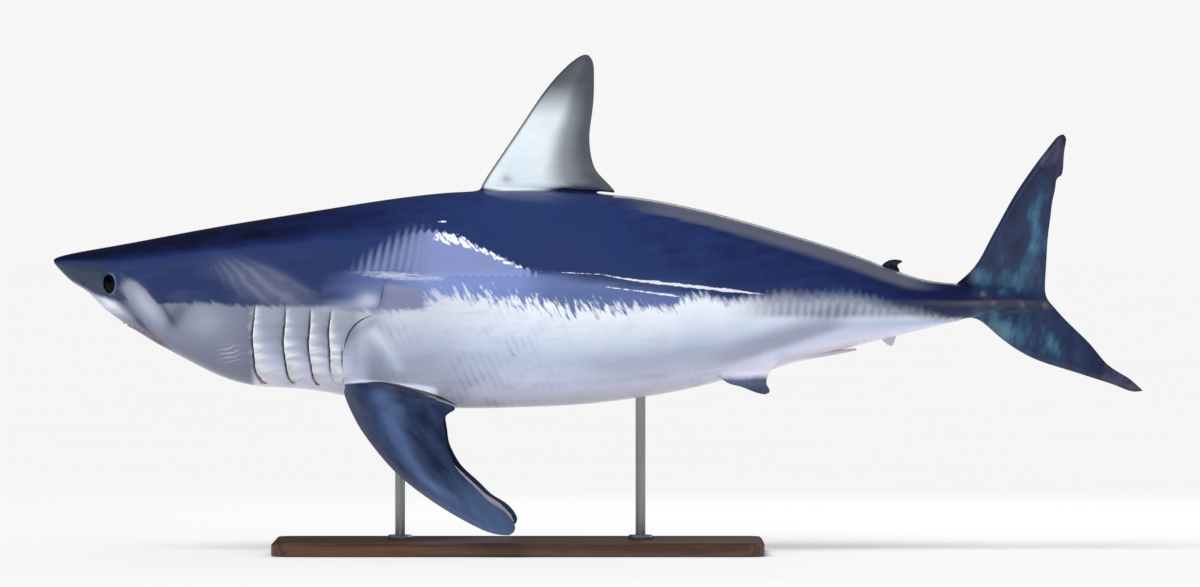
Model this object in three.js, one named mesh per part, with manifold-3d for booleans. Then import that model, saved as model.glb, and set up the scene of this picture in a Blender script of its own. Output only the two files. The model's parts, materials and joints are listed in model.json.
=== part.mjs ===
// A life-size model of a shortfin mako shark on a plain display stand.
//
// Millimetres, +Z up. The shark swims towards -X with its left side facing -Y, and its plane of
// symmetry is y = 0. The origin lies on the floor under the middle of the overall length.
// The skin is lofted whole and parted with thin cuts into head, gill region, trunk and tail stalk.
// Fins are foils lofted over ribs and cut back to the skin.
import * as THREE from "three";
import { mergeVertices } from "three/addons/utils/BufferGeometryUtils.js";
import Module from "manifold-3d";

const wasm = await Module();
wasm.setup();

// ---------------------------------------------------------------- driving dimensions

const overallLength = 2180; // snout tip to the tip of the lower tail lobe
const snoutX = -overallLength / 2;
const cutGap = 0.5; // thin cuts that part the body
const fitGap = 0.3; // between a fin, eye or rod and the skin it meets
const deg = Math.PI / 180;

// Body outline: [distance behind the snout tip, value] pairs, heights above the floor.
const backLine = [
  [0, 586], [20, 596], [80, 608], [170, 624], [320, 652], [560, 691], [760, 719], [860, 726],
  [960, 727], [1080, 721], [1180, 710], [1320, 681], [1480, 636], [1640, 583], [1750, 546], [1815, 539],
  [1975, 516],
];
const bellyLine = [
  [0, 586], [17, 563], [41, 541], [73, 520], [105, 489], [153, 455], [201, 425], [273, 386], [345, 351],
  [420, 334], [489, 330], [561, 320], [633, 307], [705, 298], [800, 291], [945, 293], [1065, 299],
  [1150, 309], [1233, 322], [1450, 376], [1690, 436], [1815, 466], [1975, 496],
];
const widestLine = [
  [0, 586], [60, 566], [120, 550], [200, 533], [340, 514], [560, 505], [900, 508], [1450, 511],
  [1700, 508], [1975, 506],
];
const halfWidth = [
  [0, 0], [24, 19], [60, 34], [120, 55], [200, 78], [340, 107], [560, 135], [760, 150], [900, 154],
  [1040, 150], [1200, 137], [1360, 115], [1520, 89], [1660, 64], [1760, 48], [1830, 38], [1975, 3],
];
// Fullness of the lower half of each section: 2 is an ellipse, more is squarer, as under the jaws.
const bellyFullness = [[0, 2.2], [60, 2.7], [140, 3.9], [235, 3.8], [400, 2.7], [900, 2.3], [1975, 2]];
const backFullness = 2;
const bodyEnd = 1975;

// Side keels on the tail stalk.
const keel = { from: 1560, peak: 1835, to: 1975, width: 21, height: 508, soft: 10 };

// Where the body is parted, behind the snout.
const cuts = { gills: 392, trunk: 598, rearTrunk: 1150, stalk: 1570 };

const eye = { behind: 114, height: 540, aside: 39, alongBody: 15, tall: 19, deep: 17 };
const nostril = { behind: 62, height: 540, aside: 28, long: 9, wide: 3.5, slant: -40 };

// Mouth: a U under the snout, in a frame that slopes with the underside of the head.
const mouth = {
  behind: 148, height: 462, slope: -33 * deg,
  length: 98, halfWidth: 55, squareness: 3, ceiling: 24, gap: 7, hingeGap: 0.5,
};
const tooth = { perSide: 4, upper: 14, lower: 12, radius: 2.2, tip: 0.5, sides: 4 };

// Five gill slits on each side: distance behind the snout at mid height.
const gillSlits = [405, 467, 517, 557, 583];
const gill = { width: 3.5, depth: 12, topAngle: 92, bottomAngle: 154, bow: 9 };

// ---------------------------------------------------------------- curves and solids

// Natural cubic spline through [x, y] pairs, read as a function of x.
function spline(points) {
  const n = points.length;
  const x = points.map((p) => p[0]);
  const y = points.map((p) => p[1]);
  const bend = new Array(n).fill(0);
  const carry = new Array(n).fill(0);
  for (let i = 1; i < n - 1; i++) {
    const share = (x[i] - x[i - 1]) / (x[i + 1] - x[i - 1]);
    const pivot = share * bend[i - 1] + 2;
    const slopes = (y[i + 1] - y[i]) / (x[i + 1] - x[i]) - (y[i] - y[i - 1]) / (x[i] - x[i - 1]);
    bend[i] = (share - 1) / pivot;
    carry[i] = ((6 * slopes) / (x[i + 1] - x[i - 1]) - share * carry[i - 1]) / pivot;
  }
  for (let i = n - 2; i > 0; i--) bend[i] = bend[i] * bend[i + 1] + carry[i];
  bend[0] = 0;
  return (at) => {
    const clamped = Math.min(Math.max(at, x[0]), x[n - 1]);
    let i = 1;
    while (i < n - 1 && clamped > x[i]) i++;
    const h = x[i] - x[i - 1];
    const a = (x[i] - clamped) / h;
    const b = (clamped - x[i - 1]) / h;
    const curl = (a * (a * a - 1) * bend[i - 1] + b * (b * b - 1) * bend[i]) * (h * h / 6);
    return a * y[i - 1] + b * y[i] + curl;
  };
}

// A body curve is splined over the square root of the distance, which rounds the snout.
function alongBody(points) {
  const through = spline(points.map(([s, value]) => [Math.sqrt(s), value]));
  return (s) => through(Math.sqrt(Math.max(s, 0)));
}

const body = {
  back: alongBody(backLine),
  belly: alongBody(bellyLine),
  widest: alongBody(widestLine),
  half: alongBody(halfWidth),
  fullness: alongBody(bellyFullness),
};

function smoothRise(from, to, at) {
  const share = Math.min(Math.max((at - from) / (to - from), 0), 1);
  return share * share * (3 - 2 * share);
}

function keelWidth(s) {
  const rise = Math.pow(smoothRise(keel.from, keel.peak, s), 1.6);
  return keel.width * rise * (1 - smoothRise(keel.peak, keel.to, s));
}

// Point of the skin: s behind the snout, angle from the back (0) over the left side to the belly (180).
// swell moves it outwards.
function skin(s, angle, swell = 0) {
  const c = Math.cos(angle * deg);
  const w = Math.sin(angle * deg);
  const n = c > 0 ? backFullness : body.fullness(s);
  const k = Math.pow(Math.abs(c) ** n + Math.abs(w) ** n, -1 / n);
  const level = body.widest(s);
  const rise = (c > 0 ? body.back(s) - level : level - body.belly(s)) + swell;
  const z = level + k * rise * c;
  const ridge = keelWidth(s) * Math.exp(-(((z - keel.height) / keel.soft) ** 2)) * Math.abs(w);
  const y = -(k * (body.half(s) + swell) * w + ridge * Math.sign(w));
  return new THREE.Vector3(snoutX + s, y, z);
}

// Closed solid through rings of points, each ring with the same count, capped at both ends.
function loft(rings) {
  const count = rings[0].length;
  const position = rings.flat().flatMap((p) => [p.x, p.y, p.z]);
  const index = [];
  for (let r = 0; r + 1 < rings.length; r++) {
    for (let i = 0; i < count; i++) {
      const a = r * count + i;
      const b = r * count + ((i + 1) % count);
      index.push(a, b, b + count, a, b + count, a + count);
    }
  }
  const last = (rings.length - 1) * count;
  for (let i = 1; i + 1 < count; i++) {
    index.push(0, i + 1, i, last, last + i, last + i + 1);
  }
  const geometry = new THREE.BufferGeometry();
  geometry.setAttribute("position", new THREE.Float32BufferAttribute(position, 3));
  geometry.setIndex(index);
  return solid(geometry);
}

// Any closed three.js geometry as a solid with its faces pointing out.
function solid(geometry) {
  const bare = geometry.clone();
  bare.deleteAttribute("normal");
  bare.deleteAttribute("uv");
  const merged = mergeVertices(bare, 1e-3);
  const triVerts = new Uint32Array(merged.index.array);
  const vertProperties = new Float32Array(merged.attributes.position.array);
  const made = new wasm.Manifold(new wasm.Mesh({ numProp: 3, vertProperties, triVerts }));
  if (made.volume() > 0) return made;
  for (let i = 0; i < triVerts.length; i += 3) {
    [triVerts[i + 1], triVerts[i + 2]] = [triVerts[i + 2], triVerts[i + 1]];
  }
  return new wasm.Manifold(new wasm.Mesh({ numProp: 3, vertProperties, triVerts }));
}

function box(low, high) {
  const size = new THREE.Vector3().subVectors(high, low);
  const centre = new THREE.Vector3().addVectors(low, high).multiplyScalar(0.5);
  return solid(new THREE.BoxGeometry(size.x, size.y, size.z).translate(centre.x, centre.y, centre.z));
}

// Everything between two distances behind the snout.
function slab(from, to) {
  const reach = 1500;
  return box(
    new THREE.Vector3(snoutX + from, -reach, -reach),
    new THREE.Vector3(snoutX + to, reach, reach),
  );
}

function steps(from, to, count) {
  return Array.from({ length: count + 1 }, (_, i) => from + ((to - from) * i) / count);
}

// ---------------------------------------------------------------- body

// Rings are close together where the head is narrow and far apart along the trunk.
const ringPlaces = [
  0.6, 3, 8, 16, 30, 50, ...steps(75, 255, 8), ...steps(290, 600, 8), ...steps(660, 1500, 10),
  ...steps(1570, 1810, 5), ...steps(1850, bodyEnd, 4),
];
const pointsAround = 32;

function wholeBody(swell) {
  return loft(
    ringPlaces.map((s) =>
      steps(0, 360, pointsAround).slice(0, -1).map((angle) => skin(s, angle, swell)),
    ),
  );
}

const plainBody = wholeBody(0);
const fitBody = wholeBody(fitGap);

// ---------------------------------------------------------------- eyes and nostrils

function eyeball(side, swell) {
  const ball = new THREE.SphereGeometry(1, 12, 8);
  ball.rotateX(90 * deg);
  ball.scale(eye.alongBody + swell, eye.deep + swell, eye.tall + swell);
  ball.translate(snoutX + eye.behind, side * eye.aside, eye.height);
  return solid(ball);
}

function nostrilCut(side) {
  const pit = new THREE.SphereGeometry(1, 8, 6);
  pit.scale(nostril.long, nostril.wide * 2, nostril.wide);
  pit.rotateY(-nostril.slant * deg);
  pit.translate(snoutX + nostril.behind, side * nostril.aside, nostril.height);
  return solid(pit);
}

// ---------------------------------------------------------------- mouth

// From the mouth's sloping frame (back along the underside, aside, out of the underside) to the part.
const mouthFrame = new THREE.Matrix4()
  .makeTranslation(snoutX + mouth.behind, 0, mouth.height)
  .multiply(new THREE.Matrix4().makeRotationY(-mouth.slope))
  .multiply(new THREE.Matrix4().makeScale(1, 1, -1));

// The U of the lower jaw, widened all round by grow; share runs from -1 at one corner to 1 at the other.
function jawPoint(share, grow) {
  const wide = mouth.halfWidth + grow;
  const long = mouth.length + grow;
  const turn = share * 90 * deg;
  const k = Math.pow(
    Math.abs(Math.sin(turn)) ** mouth.squareness + Math.abs(Math.cos(turn)) ** mouth.squareness,
    -1 / mouth.squareness,
  );
  return new THREE.Vector2(mouth.length - k * long * Math.cos(turn), k * wide * Math.sin(turn));
}

// Upright prism over the U, from its ceiling inside the head to well outside.
function jawPrism(grow, ceiling, hinge) {
  const outline = steps(-1, 1, 16).map((share) => jawPoint(share, grow));
  outline[0].x += hinge;
  outline[outline.length - 1].x += hinge;
  const rings = [-ceiling, 60].map((out) =>
    outline.map((p) => new THREE.Vector3(p.x, p.y, out).applyMatrix4(mouthFrame)),
  );
  return loft(rings);
}

// Slender teeth round the U, from a foot at one height to a fine tip at another.
function teeth(grow, foot, tip, offset) {
  const shares = steps(-tooth.perSide, tooth.perSide, 2 * tooth.perSide)
    .map((i) => ((i + offset) / (tooth.perSide + 1)) * 0.9);
  return shares.map((share) => {
    const at = jawPoint(share, grow);
    const rings = [[foot, tooth.radius], [tip, tooth.tip]].map(([out, radius]) =>
      steps(0, 360, tooth.sides).slice(0, -1).map((a) =>
        new THREE.Vector3(
          at.x + radius * Math.cos(a * deg), at.y + radius * Math.sin(a * deg), out,
        ).applyMatrix4(mouthFrame),
      ),
    );
    return loft(rings);
  });
}

// ---------------------------------------------------------------- gill slits

// A slot that follows the skin round the side, bowed forward at mid height.
function gillCut(s, side) {
  const rings = steps(gill.topAngle, gill.bottomAngle, 4).map((angle, i, all) => {
    const height = i / (all.length - 1);
    const at = s - gill.bow * Math.sin(Math.PI * height) + gill.bow * height;
    const open = gill.width * (0.35 + 0.65 * Math.sin(Math.PI * Math.min(height + 0.12, 1)));
    return [[-open, 6], [open, 6], [open, -gill.depth], [-open, -gill.depth]].map(([dx, out]) => {
      const p = skin(at + dx / 2, angle, out);
      return new THREE.Vector3(p.x, p.y * side, p.z);
    });
  });
  return loft(rings);
}

// ---------------------------------------------------------------- fins

// A fin is a foil over ribs. Each rib is [leading s, leading z, trailing s, trailing z], as the fin is
// seen from the side: s runs behind the snout and z above the floor. place turns (s, z, across) into
// the part.
const foilShares = [0, 0.02, 0.1, 0.25, 0.5, 0.78, 1];

function foilHalf(share) {
  const root = Math.sqrt(share);
  return 5 * (0.2969 * root - 0.126 * share - 0.3516 * share ** 2 + 0.2843 * share ** 3
    - 0.1036 * share ** 4);
}

function fin({ ribs, thickness, edge, place }) {
  const rings = ribs.map(([ls, lz, ts, tz]) => {
    const chord = Math.hypot(ts - ls, tz - lz);
    const half = (share) => Math.max(chord * thickness * foilHalf(share), edge / 2 * (share > 0.01));
    const point = (share, side) =>
      place(ls + (ts - ls) * share, lz + (tz - lz) * share, side * half(share));
    const near = foilShares.map((share) => point(share, 1));
    const far = foilShares.slice(1).reverse().map((share) => point(share, -1));
    return [...near, ...far];
  });
  return loft(rings);
}

// Fins in the plane of symmetry.
const upright = (s, z, across) => new THREE.Vector3(snoutX + s, across, z);

// Paired fins droop: the further below the root, the further out, less so towards the tip.
function paired(side, root) {
  return (s, z, across) => {
    const depth = root.z - z;
    const slope = root.spread - 2 * root.curl * depth;
    const long = Math.hypot(1, slope);
    const aside = root.y - root.turn * (s - root.s) + depth * (root.spread - root.curl * depth);
    return new THREE.Vector3(snoutX + s, side * (aside + across / long), z + across * slope / long);
  };
}

const firstDorsal = {
  thickness: 0.11, edge: 1.6, place: upright,
  ribs: [
    [832, 690, 1085, 690], [850, 729, 1108, 713], [858, 741, 1124, 719], [868, 757, 1106, 741],
    [882, 776, 1086, 764], [905, 810, 1074, 796], [934, 853, 1072, 838], [965, 900, 1078, 886],
    [996, 942, 1081, 930], [1025, 973, 1081, 966], [1048, 992, 1078, 984], [1060, 999, 1072, 995],
  ],
};
const secondDorsal = {
  thickness: 0.14, edge: 1.2, place: upright,
  ribs: [
    [1646, 560, 1690, 552], [1656, 577, 1692, 565], [1664, 583, 1689, 573], [1673, 587, 1693, 579],
    [1683, 588, 1698, 582],
  ],
};
const anal = {
  thickness: 0.14, edge: 1.2, place: upright,
  ribs: [
    [1650, 448, 1684, 452], [1656, 430, 1686, 437], [1664, 421, 1683, 427], [1671, 415, 1680, 419],
  ],
};
const tailFin = {
  thickness: 0.085, edge: 1.4, place: upright,
  ribs: [
    [2172, 323, 2180, 326], [2131, 333.5, 2150, 353], [2087, 348.5, 2106, 379], [2032, 366, 2050, 442],
    [1958, 391, 2013, 479], [1913, 417, 1997, 497], [1877, 446, 1988, 508], [1838, 471, 1984, 522],
    [1815, 505, 1982, 535], [1809, 540, 1984, 556], [1843, 575, 1986, 590], [1873, 628, 1989, 636],
    [1891, 661, 1994, 675], [1921, 715, 1998, 706], [1944, 748, 2004, 736], [1953, 762, 2009, 752],
    [1960, 773, 2017, 756], [1978, 796, 2020, 788], [2000, 825, 2024, 817], [2014, 837, 2024, 833],
  ],
};
const pectoral = {
  thickness: 0.12, edge: 1.6, root: { s: 583, z: 340, y: 82, spread: 0.75, curl: 0.0007, turn: 0.05 },
  ribs: [
    [565, 392, 735, 380], [580, 341, 760, 318], [584, 318, 808, 297], [597, 290, 788, 282],
    [612, 262, 784, 252], [629, 237, 787, 226], [662, 196, 794, 204], [701, 157, 812, 172],
    [751, 119, 847, 138], [803, 86, 876, 110], [850, 61, 904, 92], [885, 48, 924, 68],
    [908, 45, 925, 56],
  ],
};
const pelvic = {
  thickness: 0.12, edge: 1.3, root: { s: 1346, z: 372, y: 45, spread: 0.85, curl: 0, turn: 0.04 },
  ribs: [
    [1318, 382, 1440, 398], [1329, 351, 1443, 376], [1350, 342, 1429, 360], [1372, 336, 1425, 347],
    [1398, 326, 1427, 336], [1418, 321, 1432, 327],
  ],
};

// ---------------------------------------------------------------- claspers

// The pair of slim organs behind the pelvic fins of a male, lying along the belly.
const clasper = { from: 1424, to: 1603, aside: 24, endAside: 14, radius: 8, endRadius: 3.5, hang: 11 };

function clasperSolid(side) {
  const rings = steps(0, 1, 6).map((share) => {
    const s = clasper.from + (clasper.to - clasper.from) * share;
    const taper = clasper.radius + (clasper.endRadius - clasper.radius) * share ** 1.5;
    const radius = taper * Math.min(1, 2.2 * Math.sqrt(1.03 - share));
    const aside = clasper.aside + (clasper.endAside - clasper.aside) * share;
    const height = body.belly(s) + taper - 2 - (clasper.hang - 2) * share ** 2;
    return steps(0, 360, 8).slice(0, -1).map((a) =>
      new THREE.Vector3(
        snoutX + s, side * aside + radius * Math.cos(a * deg), height + radius * Math.sin(a * deg),
      ),
    );
  });
  return loft(rings);
}

// ---------------------------------------------------------------- stand

const stand = {
  baseFrom: -650, baseTo: 330, baseHalfWidth: 180, baseThick: 28, baseEdge: 5, corner: 36,
  rodRadius: 10, frontRodX: -397, rearRodX: 84, collarRadius: 26, collarThick: 9,
};

// Flat base with rounded corners and a small chamfer round its top and bottom edges.
function standBase() {
  const outline = (inset) => {
    const [x0, x1] = [stand.baseFrom + inset, stand.baseTo - inset];
    const y = stand.baseHalfWidth - inset;
    const r = stand.corner - inset;
    const corners = [[x1 - r, y - r, 0], [x0 + r, y - r, 90], [x0 + r, r - y, 180], [x1 - r, r - y, 270]];
    return corners.flatMap(([x, cy, from]) =>
      steps(from, from + 90, 4).map((a) => [x + r * Math.cos(a * deg), cy + r * Math.sin(a * deg)]),
    );
  };
  const levels = [
    [0, stand.baseEdge * 0.5], [stand.baseEdge * 0.5, 0], [stand.baseThick - stand.baseEdge, 0],
    [stand.baseThick, stand.baseEdge],
  ];
  return loft(levels.map(([z, inset]) => outline(inset).map(([x, y]) => new THREE.Vector3(x, y, z))));
}

function standRod(x) {
  const foot = stand.baseThick + stand.collarThick + fitGap * 2;
  const reach = 340;
  const rod = new THREE.CylinderGeometry(stand.rodRadius, stand.rodRadius, reach, 16);
  rod.rotateX(90 * deg).translate(x, 0, foot + reach / 2);
  const cut = solid(rod).subtract(fitBody).decompose();
  return cut.sort((a, b) => a.boundingBox().min[2] - b.boundingBox().min[2])[0];
}

function standCollar(x) {
  const low = stand.baseThick + fitGap;
  const profile = [
    [0, low], [stand.collarRadius, low], [stand.collarRadius, low + stand.collarThick * 0.55],
    [stand.collarRadius * 0.86, low + stand.collarThick], [0, low + stand.collarThick],
  ].map(([r, z]) => new THREE.Vector2(r, z));
  const collar = new THREE.LatheGeometry(profile, 16);
  collar.rotateX(90 * deg).translate(x, 0, 0);
  return solid(collar);
}

// ---------------------------------------------------------------- the part

const finishes = {
  skinBlue: { color: 0x2a3f73, roughness: 0.3, metalness: 0 },
  skinPale: { color: 0xc3cbe0, roughness: 0.32, metalness: 0 },
  eyeBlack: { color: 0x0a0b12, roughness: 0.05, metalness: 0 },
  claspers: { color: 0xc7a6ae, roughness: 0.4, metalness: 0 },
  baseWood: { color: 0x3a2a20, roughness: 0.4, metalness: 0 },
  rodSteel: { color: 0x9a9da2, roughness: 0.3, metalness: 1 },
};

const shark = new THREE.Group();

function add(name, made, finish) {
  const mesh = made.getMesh();
  const position = new Float32Array(mesh.numVert * 3);
  for (let i = 0; i < mesh.numVert; i++) {
    position.set(mesh.vertProperties.subarray(i * mesh.numProp, i * mesh.numProp + 3), i * 3);
  }
  const geometry = new THREE.BufferGeometry();
  geometry.setAttribute("position", new THREE.BufferAttribute(position, 3));
  geometry.setIndex(new THREE.BufferAttribute(mesh.triVerts, 1));
  geometry.computeVertexNormals();
  const node = new THREE.Mesh(geometry, new THREE.MeshStandardMaterial(finishes[finish]));
  node.name = name;
  shark.add(node);
}

// Body pieces, from the snout back.
const half = cutGap / 2;
let head = plainBody.intersect(slab(-10, cuts.gills - half));
head = head.subtract(jawPrism(mouth.gap, mouth.ceiling + mouth.hingeGap, mouth.hingeGap));
for (const side of [-1, 1]) head = head.subtract(eyeball(side, fitGap)).subtract(nostrilCut(side));
for (const tusk of teeth(mouth.gap - 2, -mouth.ceiling - 3, tooth.upper - mouth.ceiling, 0)) {
  head = head.add(tusk);
}
let jaw = plainBody.intersect(jawPrism(0, mouth.ceiling, 0));
for (const tusk of teeth(0.5, -4, -4 - tooth.lower, 0.5)) jaw = jaw.add(tusk);
add("head", head, "skinBlue");
add("lower_jaw", jaw, "skinPale");

let gills = plainBody.intersect(slab(cuts.gills + half, cuts.trunk - half));
for (const s of gillSlits) {
  for (const side of [1, -1]) gills = gills.subtract(gillCut(s, side));
}
add("gill_region", gills, "skinBlue");
add("trunk_front", plainBody.intersect(slab(cuts.trunk + half, cuts.rearTrunk - half)), "skinBlue");
add("trunk_rear", plainBody.intersect(slab(cuts.rearTrunk + half, cuts.stalk - half)), "skinBlue");
add("tail_stalk", plainBody.intersect(slab(cuts.stalk + half, bodyEnd + 10)), "skinBlue");

for (const [side, word] of [[-1, "left"], [1, "right"]]) {
  add(`eye_${word}`, eyeball(side, 0), "eyeBlack");
  const pectoralPlace = paired(side, pectoral.root);
  add(`pectoral_fin_${word}`, fin({ ...pectoral, place: pectoralPlace }).subtract(fitBody), "skinBlue");
  const pelvicPlace = paired(side, pelvic.root);
  add(`pelvic_fin_${word}`, fin({ ...pelvic, place: pelvicPlace }).subtract(fitBody), "skinPale");
  add(`clasper_${word}`, clasperSolid(side).subtract(fitBody), "claspers");
}

add("dorsal_fin_first", fin(firstDorsal).subtract(fitBody), "skinBlue");
add("dorsal_fin_second", fin(secondDorsal).subtract(fitBody), "skinBlue");
add("anal_fin", fin(anal).subtract(fitBody), "skinPale");

const lobes = fin(tailFin).subtract(fitBody);
const [above, below] = [keel.height + half, keel.height - half];
const everywhere = 3000;
const upperHalf = box(
  new THREE.Vector3(-everywhere, -everywhere, above),
  new THREE.Vector3(everywhere, everywhere, everywhere),
);
const lowerHalf = box(
  new THREE.Vector3(-everywhere, -everywhere, -everywhere),
  new THREE.Vector3(everywhere, everywhere, below),
);
add("tail_lobe_upper", lobes.intersect(upperHalf), "skinBlue");
add("tail_lobe_lower", lobes.intersect(lowerHalf), "skinBlue");

add("stand_base", standBase(), "baseWood");
add("stand_collar_front", standCollar(stand.frontRodX), "rodSteel");
add("stand_collar_rear", standCollar(stand.rearRodX), "rodSteel");
add("stand_rod_front", standRod(stand.frontRodX), "rodSteel");
add("stand_rod_rear", standRod(stand.rearRodX), "rodSteel");

export default shark;
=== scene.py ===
# %% [markdown]
# # A shortfin mako shark on a display stand
#
# The shark is built as one continuous skin: a body lofted through cross-sections, with every fin grafted
# on so that no seam shows. The eyes and teeth are pieces of their own. The stand keeps the frame's solids.
# The frame is loaded first, because every piece takes its place from it.

# %% Load the frame
import json
import math

import bmesh
import bpy
import numpy as np
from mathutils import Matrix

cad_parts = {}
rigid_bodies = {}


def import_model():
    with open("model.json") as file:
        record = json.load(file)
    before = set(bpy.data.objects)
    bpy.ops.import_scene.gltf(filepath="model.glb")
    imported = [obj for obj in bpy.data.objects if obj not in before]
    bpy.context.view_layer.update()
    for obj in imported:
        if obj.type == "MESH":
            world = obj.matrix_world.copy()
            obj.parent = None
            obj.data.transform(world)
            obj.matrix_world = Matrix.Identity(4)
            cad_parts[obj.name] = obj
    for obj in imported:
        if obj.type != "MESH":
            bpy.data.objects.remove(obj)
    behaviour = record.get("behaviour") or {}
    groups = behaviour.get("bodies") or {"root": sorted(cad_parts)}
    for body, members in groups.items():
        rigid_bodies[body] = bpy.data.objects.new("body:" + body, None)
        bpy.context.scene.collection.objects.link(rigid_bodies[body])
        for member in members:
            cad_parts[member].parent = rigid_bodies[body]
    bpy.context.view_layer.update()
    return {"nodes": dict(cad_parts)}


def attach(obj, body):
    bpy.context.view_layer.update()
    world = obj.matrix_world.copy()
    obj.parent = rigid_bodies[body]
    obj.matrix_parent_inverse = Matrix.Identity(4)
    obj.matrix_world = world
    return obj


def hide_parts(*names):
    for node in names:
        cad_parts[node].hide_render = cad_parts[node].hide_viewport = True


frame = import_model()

SNOUT_X = -1090.0  # mm: the snout tip's place along the row; the overall length is twice this

# %% [markdown]
# A real shark is described by how deep and how wide it is at each distance behind its snout tip, so that is
# how this one is written down. A natural cubic spline turns a few of those sizes into a smooth line. It
# runs over the square root of the distance, which makes the snout blunt instead of needle-sharp.

# %% Smooth curves


def spline(points):
    """Natural cubic spline through (x, y) pairs, read as a function of x."""
    x, y = np.array(points, float).T
    h = np.diff(x)
    system = np.eye(len(x))
    pull = np.zeros(len(x))
    for i in range(1, len(x) - 1):
        system[i, i - 1 : i + 2] = h[i - 1], 2 * (h[i - 1] + h[i]), h[i]
        pull[i] = 6 * ((y[i + 1] - y[i]) / h[i] - (y[i] - y[i - 1]) / h[i - 1])
    bend = np.linalg.solve(system, pull)

    def at(where):
        where = np.clip(where, x[0], x[-1])
        i = np.clip(np.searchsorted(x, where), 1, len(x) - 1)
        a, b = (x[i] - where) / h[i - 1], (where - x[i - 1]) / h[i - 1]
        curl = (a**3 - a) * bend[i - 1] + (b**3 - b) * bend[i]
        return a * y[i - 1] + b * y[i] + curl * h[i - 1] ** 2 / 6

    return at


def along_body(points):
    """A spline over the square root of the distance behind the snout."""
    through = spline([(math.sqrt(s), value) for s, value in points])
    return lambda s: through(np.sqrt(np.maximum(s, 0)))


def rise(start, end, at):
    """0 before start, 1 after end, and a smooth slope between."""
    t = np.clip((np.asarray(at, float) - start) / (end - start), 0, 1)
    return t * t * (3 - 2 * t)


def hump(at, centre, width):
    return np.exp(-(((at - centre) / width) ** 2))


# %% The body's outline: millimetres behind the snout, and height above the floor or half width
back = along_body([
    (0, 586), (20, 596), (80, 608), (170, 624), (320, 652), (560, 691), (760, 719), (860, 726), (960, 727),
    (1080, 721), (1180, 710), (1320, 681), (1480, 636), (1640, 583), (1750, 546), (1815, 539), (1975, 516),
])
belly = along_body([
    (0, 586), (17, 563), (41, 541), (73, 520), (105, 489), (153, 455), (201, 425), (273, 386), (345, 351),
    (420, 334), (489, 330), (561, 320), (633, 307), (705, 298), (800, 291), (945, 293), (1065, 299),
    (1150, 309), (1233, 322), (1450, 376), (1690, 436), (1815, 466), (1975, 496),
])
widest = along_body([
    (0, 586), (60, 566), (120, 550), (200, 533), (340, 514), (560, 505), (900, 508), (1450, 511),
    (1700, 508), (1975, 506),
])
half_width = along_body([
    (0, 0), (24, 19), (60, 34), (120, 55), (200, 78), (340, 107), (560, 135), (760, 150), (900, 154),
    (1040, 150), (1200, 137), (1360, 115), (1520, 89), (1660, 64), (1760, 48), (1830, 38), (1975, 3),
])
fullness = along_body([(0, 2.2), (60, 2.7), (140, 3.9), (235, 3.8), (400, 2.7), (900, 2.3), (1975, 2)])
KEEL_HEIGHT = 508.0  # the ridge along each side of the tail stalk


def keel_width(s):
    return 21 * rise(1560, 1835, s) ** 1.6 * (1 - rise(1835, 1975, s))


def body_skin(s, angle):
    """Left half of the body: angle runs from the back (0) over the side to the belly (180 degrees)."""
    c, w = np.cos(np.radians(angle)), np.sin(np.radians(angle))
    w = np.where(w < 1e-9, 0, w)
    n = np.where(c > 0, 2.0, fullness(s))
    k = (np.abs(c) ** n + w**n) ** (-1 / n)
    level = widest(s)
    z = level + k * c * np.where(c > 0, back(s) - level, level - belly(s))
    ridge = keel_width(s) * hump(z, KEEL_HEIGHT, 9) * w
    return np.stack([SNOUT_X + s + 0 * z, -(k * w * half_width(s) + ridge), z], axis=-1)


for s in (200, 600, 900, 1400):
    print(f"{s} mm back: {back(s) - belly(s):.0f} deep, {2 * half_width(s):.0f} wide")

# %% [markdown]
# The skin is a grid: stations run from the snout to the tail, columns from the back to the belly. Only the
# left half is made, and mirrored at the end. Stations stand close where the shark has fine detail (nostril,
# eye, mouth, gill slits, small fins) and far apart on the plain trunk. In the gill region the stations bow
# like the slits, so that each slit runs along a grid line and gets a crisp edge.

# %% Stations and columns
GILL_SLITS = (407, 469, 519, 559, 585)  # mm behind the snout
COLUMNS = 72  # from the back to the belly


def stations():
    """Distances behind the snout, with a local spacing for each stretch."""
    stretches = [
        (0.9, 20, 2.4), (20, 44, 2.6), (44, 76, 1.9), (76, 142, 2.4), (142, 258, 1.9), (258, 388, 3.6),
        (388, 606, 2.6), (606, 840, 7.8), (840, 1132, 7.1), (1132, 1320, 9), (1320, 1452, 5),
        (1452, 1640, 8), (1640, 1706, 3), (1706, 1806, 5.5),
    ]
    places = []
    for start, end, gap in stretches:
        places.extend(np.linspace(start, end, round((end - start) / gap), endpoint=False))
    places.append(1806.0)
    near_slits = [slit + d for slit in GILL_SLITS for d in np.arange(-4.2, 6.1, 1.0)]
    far = [s for s in places if all(abs(s - near) > 1.2 for near in near_slits)]
    return np.sort(np.array(far + near_slits))


STATIONS = stations()
column = np.linspace(0, 180, COLUMNS + 1)
# On the head the columns crowd towards the underside, where the mouth is.
crowd = 0.38 * (1 - rise(250, 520, STATIONS))[:, None]
ANGLES = column + np.degrees(crowd * np.sin(np.radians(column)))
print(len(STATIONS), "stations by", COLUMNS, "columns")


# %% The plain body, with stations bowed along the gills
def slit_share(angle):
    """0 at the top end of a gill slit, 1 at its lower end."""
    return (angle - 92) / (156 - 92)


def slit_bow(s, angle):
    share = np.clip(slit_share(angle), -0.15, 1.1)
    shape = -9 * np.sin(np.pi * np.clip(share, 0, 1)) + 9 * share
    window = rise(330, 395, s) * (1 - rise(600, 680, s))
    return shape * window


S_GRID = STATIONS[:, None] + slit_bow(STATIONS[:, None], ANGLES)
BODY = body_skin(S_GRID, ANGLES)
print("body grid", BODY.shape, "lowest", BODY[..., 2].min().round(1), "highest", BODY[..., 2].max().round(1))

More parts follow.
